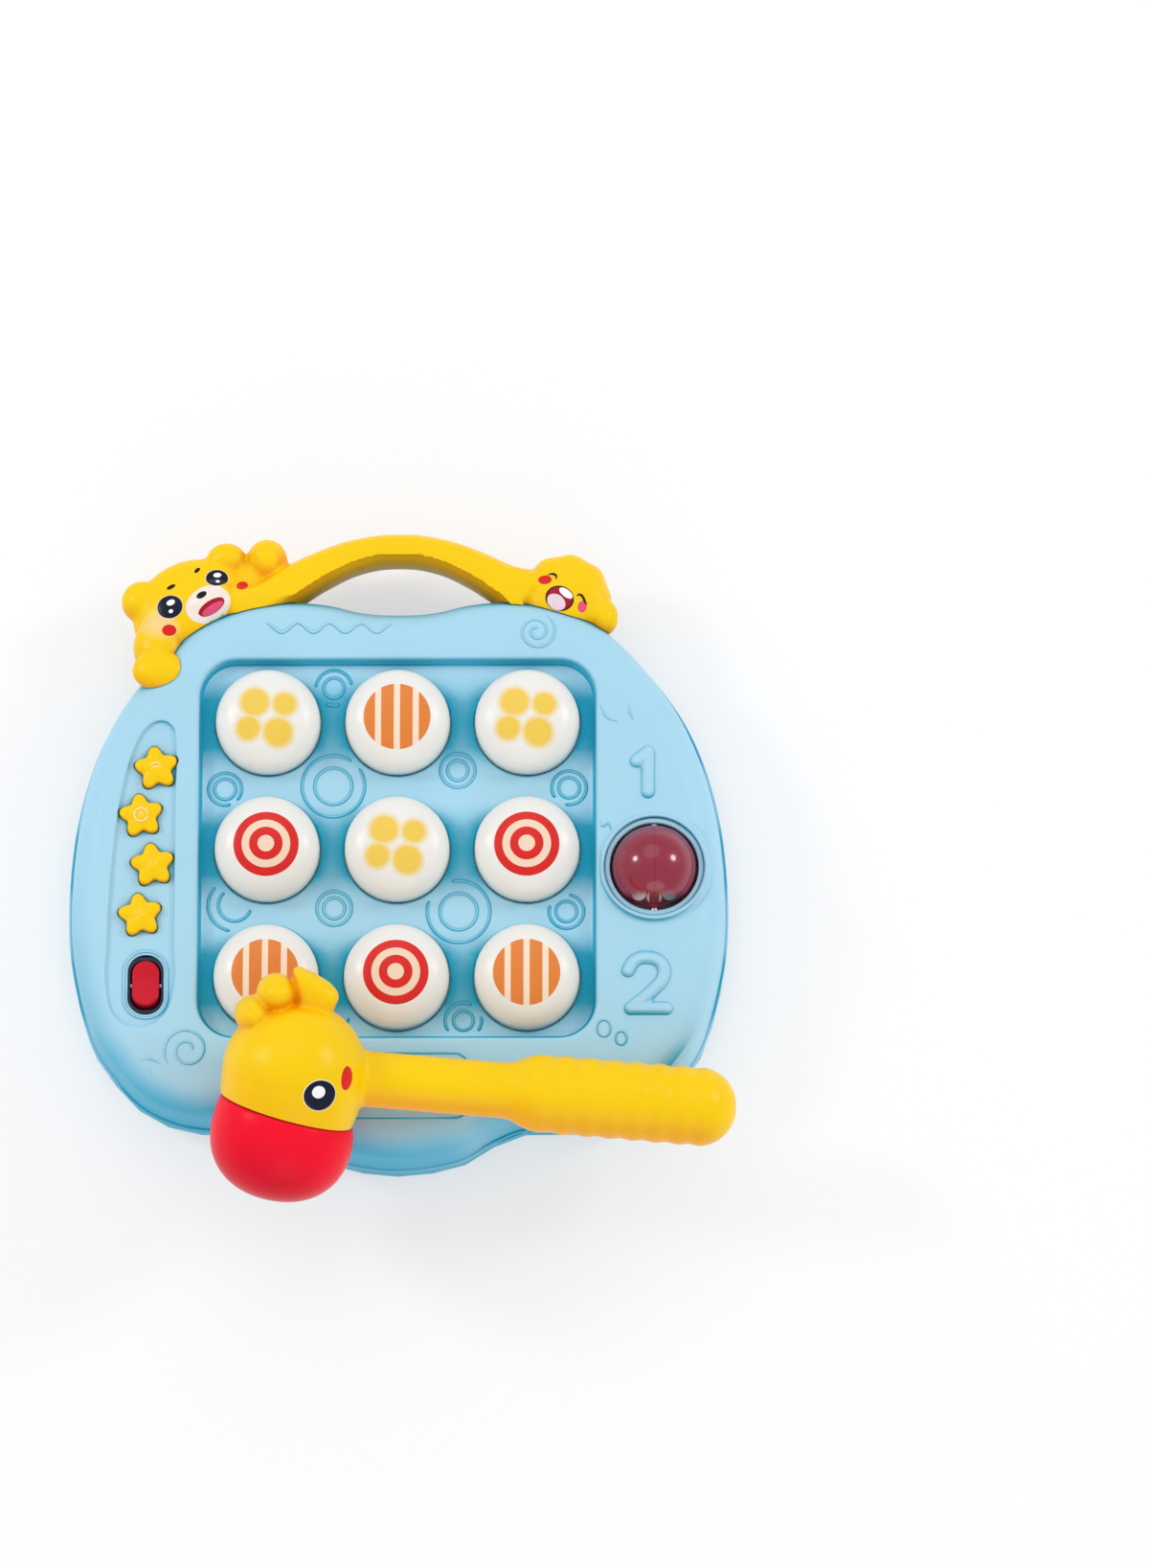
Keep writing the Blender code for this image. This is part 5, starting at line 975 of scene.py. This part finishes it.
for side in (1, -1):
    bm, top = slab(arch_ring, HANDLE_Z - side * MM, HANDLE_Z + side * 1.2 * MM)
    steps = [(inset, 2 * rise) for inset, rise in rolled(5.4 * MM, 8, sign=side)]
    handle_forms.append(stepped(bm, top, steps))
print("arch points:", len(arch_ring))

# %% The animals
BEAR = Vector((-77.9, 105.0, 27.0)) * MM
BEAR_RADIUS = 23.9 * MM
BEAR_SHARES = (((0, 0, 0), (1, 0.88, 1), 25), ((-0.84, 0.20, 0), (0.33, 0.34, 0.6), 0),
               ((0.50, 0.88, 0), (0.32, 0.28, 0.55), 0), ((0.27, 0.13, 0.72), (0.40, 0.34, 0.5), 25),
               ((0.90, 0.42, -0.1), (0.42, 0.46, 0.6), 0), ((1.147, 0.86, 0), (0.33, 0.36, 0.65), 0),
               ((1.07, 0.88, 0.3), (0.13, 0.27, 0.42), 8), ((1.25, 0.85, 0.3), (0.13, 0.27, 0.42), 2),
               ((-0.54, -0.60, 0.5), (0.42, 0.50, 0.75), 0), ((-0.53, -1.03, 1.15), (0.43, 0.33, 0.5), 0))
LION = Vector((63.4, 110.5, 27.0)) * MM
LION_RADIUS = 17.2 * MM
LION_SHARES = (((0.83, -0.45, 0.35), (0.34, 0.42, 0.55), 0),)
for origin, radius, shares in ((BEAR, BEAR_RADIUS, BEAR_SHARES), (LION, LION_RADIUS, LION_SHARES)):
    size = Vector((radius, radius, HEAD_DEPTH))
    for place, halves, tilt in shares:
        handle_forms.append(ball(origin + Vector(place) * size, Vector(halves) * size, tilt))
mane = []
for turn in (math.tau * at / 144 for at in range(144)):
    reach = LION_RADIUS * (1 + 0.025 * math.cos(9 * turn))
    mane.append(LION.xy + Vector((math.cos(turn), math.sin(turn))) * reach)
handle_forms.append(cushioned(mane, LION, 0.5, HEAD_Z, HEAD_DEPTH))
handle = melted("handle", handle_forms, 0.9 * MM, 5)

# %% Clear of the console, then front and rear
GAP = 0.3 * MM
CHEEK = BEAR + Vector((-12.5, -8.0, 6)) * MM
console_room, top = slab(outline, -5 * MM, LIP_TOP)
stepped(console_room, top, [(LIP_WIDTH - GAP, 0.3 * MM), *draft, *rolled(EDGE_RADIUS, 12)])
combine(handle, console_room, "DIFFERENCE")
handle_surface = surface_of(handle)
# Painted highlight: the bear's left cheek is mixed three quarters of the way to a pale cream within 3 mm of a
# point, fading out by 9 mm; only the front half of the handle has it.
recipe = moulded("yellow ABS with a painted cheek highlight", *YELLOW)
tree = recipe[1]
place = add(tree, "ShaderNodeTexCoord").outputs["Object"]
away = add(tree, "ShaderNodeVectorMath", {1: CHEEK}, {0: place}, operation="DISTANCE")
highlight_share = add(tree, "ShaderNodeMapRange", {"From Min": 9 * MM, "From Max": 3 * MM, "To Max": 0.75},
            {"Value": away.outputs["Value"]})
highlighted_colour = add(tree, "ShaderNodeMixRGB", {"Color2": linear("FCE6CC")},
              {"Fac": highlight_share.outputs["Result"], "Color1": recipe[3]})
cheek_highlight_abs = with_painted_shade((*recipe[:3], highlighted_colour.outputs[0]), *YELLOW_PAINTED_SHADE)
for name, side, finish in (("front", 1, cheek_highlight_abs), ("rear", -1, yellow_abs)):
    half = half_of(handle, f"handle_{name}_skin", HANDLE_Z, side)
    dress(half, finish, "console", [f"handle_{name}"], 60)
bpy.data.objects.remove(handle)

# %% Faces of the bear and the maned animal
bear_face = Matrix.Translation(BEAR + Vector((-0.6, 0.9, 0)) * MM)
lion_face = Matrix.Translation(LION)
THIN = 0.12 * MM
BEAR_PRINT = (
    ("cream", (6.3, 0.5), (8.8, 7.0), 25, 1, 1), ("white", (-8.3, -0.2), (5.0, 4.65), 8, 0.6, 1),
    ("navy", (-8.3, -0.2), (4.9, 4.55), 8, 2, 1), ("white", (-8.0, 1.4), (1.74, 1.2), 20, 3, 1),
    ("white", (-7.9, -2.0), (0.94, 0.8), 10, 3, 1), ("white", (9.4, 11.3), (4.35, 3.8), 5, 0.6, 1),
    ("navy", (9.4, 11.3), (4.25, 3.7), 5, 2, 1), ("white", (9.5, 12.6), (1.6, 1.1), 10, 3, 1),
    ("white", (9.8, 9.7), (0.87, 0.76), 0, 3, 1), ("black", (-8.0, 7.8), (1.8, 0.8), 27, 1, 1),
    ("black", (1.8, 14.6), (1.4, 0.75), 50, 1, 1), ("black", (3.8, 3.8), (2.15, 1.3), 28, 2, 1),
    ("crimson", (7.5, -0.6), (5.7, 2.9), 32, 2, 0.75), ("pink", (8.0, -1.2), (4.7, 2.0), 32, 3, 0.6),
    ("scarlet", (-8.4, -9.7), (2.7, 2.4), 20, 1, 1), ("scarlet", (19.0, 8.7), (2.25, 2.05), 20, 1, 1))
LION_PRINT = (
    ("black", (-2.2, -1.9), (5.5, 4.9), -20, 1, 1), ("crimson", (-2.2, -1.9), (5.05, 4.45), -20, 2, 1),
    ("white", (0.2, 0.1), (3.1, 1.5), -38, 3, 1), ("pale pink", (-3.4, -3.3), (3.9, 3.0), -38, 3, 1),
    ("scarlet", (-7.8, 5.5), (2.6, 1.8), 0, 1, 1), ("rose", (6.4, -5.1), (1.7, 2.2), -10, 1, 1))
LION_LASHES = (((-6.8, 7.4), (-4.9, 7.7), (-3.6, 7.1), (-3.4, 5.6)),
               ((4.3, -0.9), (5.5, -0.4), (6.8, -1.6), (7.4, -3.2), (8.2, -4.3)))
printed = {}
for face, marks in ((bear_face, BEAR_PRINT), (lion_face, LION_PRINT)):
    for ink, (x, y), halves, tilt, layer, top in marks:
        halves = [half * MM for half in halves]
        form = pad(handle_surface, face, (x * MM, y * MM), halves, tilt, THIN * layer, top)
        printed.setdefault(ink, []).append(form)
printed["black"] += [stroke(handle_surface, lion_face, points, 0.42 * MM) for points in LION_LASHES]
print_pieces(printed, "handle", "console")

# %% [markdown]
# ## The mallet
# The mallet is a chick: a round head with a crest, a plain shaft and a ribbed grip, moulded as two halves
# that meet in the plane of the shaft, with a soft red cap pushed over the striking side. Head, shaft and grip
# are one turned form. The mallet is built in its own axes, shaft along X and cap towards -Y, and is then laid
# over the console's lower edge.

# %% Head, shaft and grip
REST = Vector((-36.6043, -80.0, 71.64)) * MM
LEAN = 0.14019
LAY = (Matrix.Translation(REST) @ Matrix.Rotation(math.radians(-3.5), 4, "Z") @ Matrix.Rotation(LEAN, 4, "Y")
       @ Matrix.Rotation(math.radians(20), 4, "X"))
HEAD = 27 * MM
SHAFT = 10.4 * MM
GRIP = 14.8 * MM
GRIP_START = 84 * MM
GRIP_END = 165.6 * MM
GRIP_ROUND = 14.2 * MM
RIBS = 6
RIB_PITCH = 8.7 * MM
RIB_DEPTH = 0.68 * MM
FILLET = 4 * MM
reach = math.sqrt((HEAD + FILLET) ** 2 - (SHAFT + FILLET) ** 2)
meet = math.degrees(math.atan2(SHAFT + FILLET, reach))
profile = [(0, -HEAD)]
for turn in (math.radians(a) for a in range(5, int(180 - meet), 5)):
    profile.append((HEAD * math.sin(turn), -HEAD * math.cos(turn)))
for turn in (math.radians(a) for a in range(int(270 - meet), 179, -8)):
    profile.append((SHAFT + FILLET + FILLET * math.cos(turn), reach + FILLET * math.sin(turn)))
profile += [(SHAFT, reach + 10 * MM), (SHAFT, GRIP_START - 6 * MM), (SHAFT + 0.4 * MM, GRIP_START - 3 * MM),
            (SHAFT + 1.8 * MM, GRIP_START), (GRIP - 0.9 * MM, GRIP_START + 4 * MM),
            (GRIP - 0.2 * MM, GRIP_START + 8 * MM)]
for at in (step / 8 for step in range(RIBS * 8 + 1)):
    groove = RIB_DEPTH * (1 + math.cos(math.tau * at)) / 2
    profile.append((GRIP - groove, GRIP_START + 13 * MM + at * RIB_PITCH))
profile += [*arc((GRIP - GRIP_ROUND, GRIP_END - GRIP_ROUND), GRIP_ROUND, 5, 90, 12), (0, GRIP_END)]
mallet_forms = [lathe(profile, (0, 0, 0), 72, "X")]

# %% Cheeks and crest
CAP_EDGE = 14 * MM
CHEEKS = ((0, -2), (25.5, -2), (26.8, 2), (26.6, 6), (26.0, 10), (25.2, 14), (24, 19), (0, 19))
CREST_BALLS = (((-17.4, 20.8, 0), (7.2, 7.1, 11.5)), ((-9.8, 29.4, 0), (7.4, 7.4, 10.5)))
WING = ((-3.4, 20), (-2.6, 28), (-4.4, 36.6), (-3.6, 39.6), (1, 39.0), (6, 36.9), (11, 33.8), (13.4, 30.4),
        (12.6, 27.0), (10.6, 22), (4, 18))
WING_MIDDLE = Vector((4, 28, 0)) * MM
cap_way = Vector((-math.sin(math.radians(6)), -math.cos(math.radians(6)), 0))
CAP_TURN = cap_way.to_track_quat("Z", "Y").to_matrix().to_4x4()
cheeks = lathe([(radius * MM, height * MM) for radius, height in CHEEKS], segments=72)
cheeks.transform(CAP_TURN)
mallet_forms.append(cheeks)
mallet_forms += [ball(Vector(place) * MM, Vector(halves) * MM, 0, 32) for place, halves in CREST_BALLS]
wing_ring = curve_points([(x * MM, y * MM) for x, y in WING], 4)
mallet_forms.append(cushioned(wing_ring, WING_MIDDLE, 0.35, 0, 7.0 * MM))
mallet = melted("mallet", mallet_forms, 0.7 * MM, 3)

# %% The neck under the cap
NECK = 15 * MM
NECK_END = CAP_EDGE + 8 * MM
SLANT = math.tan(math.radians(4))


def slanted(bm):
    """Slant the end of a cap or its trim by four degrees, and let that fade out further down."""
    for vert in bm.verts:
        share = min(max((NECK_END - vert.co.z) / (NECK_END - CAP_EDGE), 0), 1)
        vert.co.z += share * SLANT * vert.co.x
    bm.transform(CAP_TURN)
    return bm


BEYOND = (35 * MM, 50 * MM)
trim = [(NECK, CAP_EDGE), (BEYOND[0], CAP_EDGE), BEYOND, (0, BEYOND[1]), (0, NECK_END), (NECK, NECK_END)]
combine(mallet, slanted(lathe(trim)), "DIFFERENCE")
mallet_surface = surface_of(mallet)
for name, side in (("front", 1), ("back", -1)):
    half = half_of(mallet, f"mallet_{name}_skin", 0, side)
    half.data.transform(LAY)
    dress(half, yellow_abs, "mallet", [f"mallet_shell_{name}"], 50)
bpy.data.objects.remove(mallet)

# %% The strike cap
CAP_RADIUS = 26.7 * MM
CAP_MIDDLE = 22.5 * MM
CAP_HEIGHT = 25.6 * MM
CAP_SQUARE = 0.88
RIM_Z = CAP_EDGE + 0.3 * MM
RIM_RADIUS = 25.5 * MM
cap = [(0, NECK_END + GAP), (NECK + GAP, NECK_END + GAP), (NECK + GAP, RIM_Z), (RIM_RADIUS - 1.2 * MM, RIM_Z),
       (RIM_RADIUS - 0.4 * MM, RIM_Z + 0.3 * MM), (RIM_RADIUS, RIM_Z + 1.1 * MM),
       (RIM_RADIUS + 0.75 * MM, RIM_Z + 4 * MM)]
for turn in (math.radians(3 * at) for at in range(30)):
    rise = CAP_HEIGHT * math.sin(turn) ** CAP_SQUARE
    cap.append((CAP_RADIUS * math.cos(turn) ** CAP_SQUARE, CAP_MIDDLE + rise))
cap.append((0, CAP_MIDDLE + CAP_HEIGHT))
bm = slanted(lathe(cap, (0, 0, 0), 80))
bm.transform(LAY)
piece("mallet_cap_skin", bm, red_abs, "mallet", ["mallet_strike_cap"], 50)

# %% The chick's face, on both sides
CHICK_PRINT = (("white", (7.9, -3.0, 25.6), (6.5, 6.0), 0, 1),
               ("navy", (7.9, -3.0, 25.6), (6.35, 5.85), 0, 2),
               ("white", (7.2, -1.7, 26.0), (2.7, 2.5), 0, 3),
               ("scarlet", (17.7, 3.3, 20.1), (2.9, 4.5), -9, 1))
printed = {}
for side in (1, -1):
    for ink, way, halves, tilt, layer in CHICK_PRINT:
        out = Vector((way[0], way[1], way[2] * side)).normalized()
        square = out.cross((0, 1, 0)).normalized()
        frame_of = Matrix((-square, out.cross(-square), out)).transposed().to_4x4()
        halves = [half * MM for half in halves]
        form = pad(mallet_surface, frame_of, (0, 0), halves, tilt * side, THIN * layer)
        form.transform(LAY)
        printed.setdefault(ink, []).append(form)
print_pieces(printed, "mallet", "mallet")

# %% [markdown]
# ## Raised decoration
# Low ridges are moulded into the face and the recess: circles between the domes, two spirals, a few strokes
# and drops, and the line round the grille. They are round lines laid on the shell and sunk into it, and the
# rings stop where a dome or the recess's wall begins.

# %% Ridges laid on the shell
face_surface = surface_of(front_shell)
UPRIGHT = Matrix.Identity(4)
STROKE_LINE = 0.45 * MM
RING_LINE = 0.75 * MM
RING_SINK = 0.4
RING_ROOM = 2.8 * MM
RING_POINTS = 48


def ridge(points, line, closed=False, sink=0.0):
    """A raised line through points in mm, laid on the shell and sunk by a share of its radius."""
    spots = [drape(face_surface, UPRIGHT, x * MM, y * MM) for x, y in points]
    return wire([spot - Vector((0, 0, sink * line)) for spot in spots], line, closed=closed)


def is_clear(spot):
    """Whether a point in mm on the recess floor keeps clear of the domes and of the wall."""
    domes = min((spot * MM - middle(node).xy).length for node in dome_nodes) - DOME_RADIUS
    walls = [half - abs(place * MM - centre) for half, place, centre in zip(RECESS_HALF, spot, recess_middle)]
    return min(domes, *walls) > RING_ROOM


def ring(x, y, radius):
    """A ring on the recess floor, left open where it would run into a dome or the wall."""
    turns = [math.tau * at / RING_POINTS for at in range(RING_POINTS)]
    spots = [Vector((x + radius * math.cos(turn), y + radius * math.sin(turn))) for turn in turns]
    clear = [is_clear(spot) for spot in spots]
    if all(clear):
        return [ridge(spots, RING_LINE, True, RING_SINK)]
    first = clear.index(False)
    runs = [[]]
    for at in (place % RING_POINTS for place in range(first, first + RING_POINTS)):
        if clear[at]:
            runs[-1].append(spots[at])
        elif runs[-1]:
            runs.append([])
    return [ridge(run, RING_LINE, False, RING_SINK) for run in runs if len(run) > 3]


def spiral(x, y, inner, outer, turns, start):
    points = []
    for share in (at / int(turns * 12) for at in range(int(turns * 12) + 1)):
        reach = inner + (outer - inner) * share
        turn = start + math.tau * turns * share
        points.append((x + reach * math.cos(turn), y + reach * math.sin(turn)))
    return ridge(points, STROKE_LINE)


# %% The ridges of this toy
RINGS = ((-24.3, 74.1, 3.9, 6.8), (-65.2, 35, 4, 6.2), (-24.3, 36.1, 7, 11.8), (22.7, 42.1, 3.8, 6.5),
         (64.8, 35.4, 3.9, 6.5), (-61.2, -9.6, 6.2, 10), (-23.7, -10.9, 4, 6.5), (23.2, -12.2, 7, 11.8),
         (63.8, -12.2, 3.9, 6.5), (25.1, -53.9, 3.7, 6.8), (-24.6, -50.8, 7, 11))
STROKES = (((76.5, 66.4), (79.0, 61.5), (83.5, 59.6)), ((87.6, 66.6), (88.0, 63.0), (89.0, 60.4)),
           ((-96.4, -69.6), (-92.0, -69.4), (-88.2, -71.4)), ((-92.8, -73.4), (-91.2, -75.6)),
           ((76.4, 21.6), (77.6, 19.4), (79.4, 20.6), (80.6, 18.0)))
DROP = ((0, 1.1), (0.8, 0), (0, -0.9), (-0.8, 0))
relief = []
for x, y, inner, outer in RINGS:
    relief += [*ring(x, y, inner), *ring(x, y, outer)]
relief += [spiral(52.5, 94.9, 1.0, 7.5, 2.0, math.pi / 3), spiral(-78.3, -66, 2.0, 9.0, 1.6, 0)]
relief += [ridge(points, STROKE_LINE) for points in STROKES]
wave = [(-50 + 2 * at, 96.3 + 1.9 * math.cos(math.pi * at / 3)) for at in range(25)]
relief.append(ridge(wave, 0.55 * MM))
for x, y, size in ((77.9, -58.2, 3.2), (84.4, -61.9, 2.6)):
    relief.append(ridge([(x + size * a, y + size * b) for a, b in DROP], 0.4 * MM, True))
for *sizes, line in ((8.1, 12.7, 7.7, ROCKER.xy / MM, 0.55), (27, 12.3, 5, (0, -79.7), 0.4)):
    relief.append(ridge([point.xy for point in rounded_ring(*sizes)], line * MM, True))
piece("face_relief", merged(*relief), light_blue_abs, "console")

# %% Puffy numerals
NUMERAL_RADIUS = 3.0 * MM
NUMERAL_Z = FACE_Z - 1.3 * MM
NUMERALS = (((90.3, 44.4), (94.6, 47.8)), ((94.6, 47.8), (94.6, 40.0), (94.6, 32.6)),
            ((87.0, -36.0), (89.2, -32.4), (94.8, -31.0), (99.8, -33.6), (100.2, -38.4), (96.0, -43.6),
             (88.0, -50.4)), ((88.0, -50.4), (94.6, -50.4), (101.2, -50.4)))
numeral_forms = []
for points in NUMERALS:
    spots = [Vector((x * MM, y * MM, NUMERAL_Z)) for x, y in points]
    numeral_forms.append(wire(spots, NUMERAL_RADIUS, 8, taper=1))
    numeral_forms += [ball(spot, [NUMERAL_RADIUS] * 3, 0, 24) for spot in (spots[0], spots[-1])]
numerals = melted("numeral_relief", numeral_forms, 0.5 * MM, 4)
dress(numerals, light_blue_abs, "console", (), 60)

# %% [markdown]
# ## The return domes
# Under each cap a bell of silicone rubber pushes it back up, and folds flat when the cap is pounded. It is
# turned in one go.

# %% Return domes
SHEET = 0.9 * MM
BELL_NECK = 4.5 * MM
rubber = moulded("translucent silicone rubber", "DADFE2", 0.55, 0.02)[0]
for index in range(1, 10):
    node = f"return_dome_{index}"
    low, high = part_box(node)
    foot, height = (high.x - low.x) / 2, high.z - low.z
    bell = [(foot - SHEET, 0), (foot, 0), (foot, 0.5 * MM), (BELL_NECK + 0.2 * MM, height - 1.4 * MM),
            (BELL_NECK, height - 0.8 * MM), *arc((BELL_NECK - 0.5 * MM, height - 0.5 * MM), 0.5 * MM, 0, 90, 4),
            (0, height), (0, height - 2.2 * MM), (1.8 * MM, height - 2.2 * MM), (2.0 * MM, height - SHEET),
            (BELL_NECK - SHEET, height - SHEET - 0.4 * MM)]
    centre = ((low.x + high.x) / 2, (low.y + high.y) / 2, low.z)
    made = piece(f"{node}_skin", lathe(bell, centre, 40), rubber, "console", [node], 50)
    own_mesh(made)

# %% [markdown]
# ## What stays inside
# The boards, batteries and screws keep their CAD shapes. They only show through gaps, so each gets the plain
# finish of its real material.

# %% Finishes for the hidden parts
board = moulded("green fibreglass circuit board", "1F5A38", 0.4, 0.02)[0]
cell_sleeve = moulded("dark battery sleeve", "2B2D33", 0.35, 0.01)[0]
HIDDEN = ((steel, ("shell_screw_", "board_screw_", "battery_contact", "battery_door_screw", "rocker_pin",
                   "mallet_screw_")),
          (board, ("main_board", "side_board")), (rubber, ("star_keypad",)),
          (cell_sleeve, ("battery_1", "battery_2", "battery_3")), (dark_abs, ("speaker",)))
for material, starts in HIDDEN:
    for node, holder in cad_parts.items():
        if node.startswith(starts):
            holder.data.materials.clear()
            holder.data.materials.append(material)
            print("finish:", node, material.name)

# %% [markdown]
# ## Table, light and camera
# The toy lies on a white table under a large soft light, with two smaller ones that give the gloss its
# highlights and a low one that fills the chin's side. The table shows white to the camera, in gloss and
# through clear plastic, by its own colour and a share of glow, while it still takes the toy's shadow. The
# camera looks down, tipped 12 degrees towards the chin and a little to the right, as the photo's did.

# %% Table and world
GLOW = 0.52
table, tree, shader, _ = moulded("white painted table", "FFFFFF", 0.7, 0.02, 0.004)
seen = add(tree, "ShaderNodeLightPath").outputs
mirrored = add(tree, "ShaderNodeMath", links={0: seen["Is Glossy Ray"], 1: seen["Is Transmission Ray"]},
               operation="ADD")
shown = add(tree, "ShaderNodeMath", links={0: mirrored.outputs[0], 1: seen["Is Camera Ray"]}, operation="ADD",
            use_clamp=True)
share = add(tree, "ShaderNodeMath", {1: GLOW}, {0: shown.outputs[0]}, operation="MULTIPLY")
white = add(tree, "ShaderNodeEmission", {"Color": (1, 1, 1, 1), "Strength": 1.0})
either = add(tree, "ShaderNodeMixShader",
             links={0: share.outputs[0], 1: shader.outputs[0], 2: white.outputs[0]})
tree.links.new(either.outputs[0], tree.nodes["Material Output"].inputs["Surface"])
bm = bmesh.new()
bmesh.ops.create_grid(bm, x_segments=8, y_segments=8, size=3)
floor = as_object("table", bm)
floor.data.materials.append(table)
floor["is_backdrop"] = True

world = bpy.data.worlds.new("studio")
bpy.context.scene.world = world
world.use_nodes = True
sky = world.node_tree.nodes["Background"].inputs
sky["Color"].default_value = linear("F8FAFF")
sky["Strength"].default_value = 0.7

# %% Lights
LIGHTS = (("top", (-0.2, 1.4, 2.0), 1.8, 5.5), ("left", (-1.6, 0.6, 1.3), 0.5, 9),
          ("right", (1.6, 0.6, 1.15), 0.5, 8), ("fill", (0.2, -1.9, 0.8), 1.6, 6))


def placed(name, data, place, turn):
    """A lamp or camera in the scene, at its place and turn."""
    holder = bpy.data.objects.new(name, data)
    bpy.context.scene.collection.objects.link(holder)
    holder.matrix_world = Matrix.Translation(place) @ turn.to_4x4()
    return holder


for name, place, size, watts in LIGHTS:
    light = bpy.data.lights.new(name, "AREA")
    light.shape = "DISK"
    light.size = size
    light.energy = watts
    placed(name, light, place, (-Vector(place)).to_track_quat("-Z", "Y").to_matrix())
    print("light:", name, watts, "W")

# %% Camera
SENSOR = 36
AWAY = 3000 * MM
FRAME_HEIGHT = 591.226 * MM
TARGET = Vector((66.9, 35.6, 42)) * MM
towards = Vector((0.006, -0.207, 0.978)).normalized()
camera = bpy.data.cameras.new("camera")
camera.sensor_fit = "VERTICAL"
camera.sensor_height = SENSOR
camera.lens = SENSOR * AWAY / FRAME_HEIGHT
right = Vector((0, 1, 0)).cross(towards).normalized()
turn = Matrix((right, towards.cross(right), towards)).transposed()
bpy.context.scene.camera = placed("camera", camera, TARGET + towards * AWAY, turn)
bpy.context.scene.view_settings.view_transform = "Standard"
print("lens in mm:", round(camera.lens, 2))

# %% Measure and finish
new_low, new_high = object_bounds()
for name, size in (("CAD", cad_high - cad_low), ("looks", new_high - new_low)):
    print(name, "in mm:", [round(side / MM, 1) for side in size])
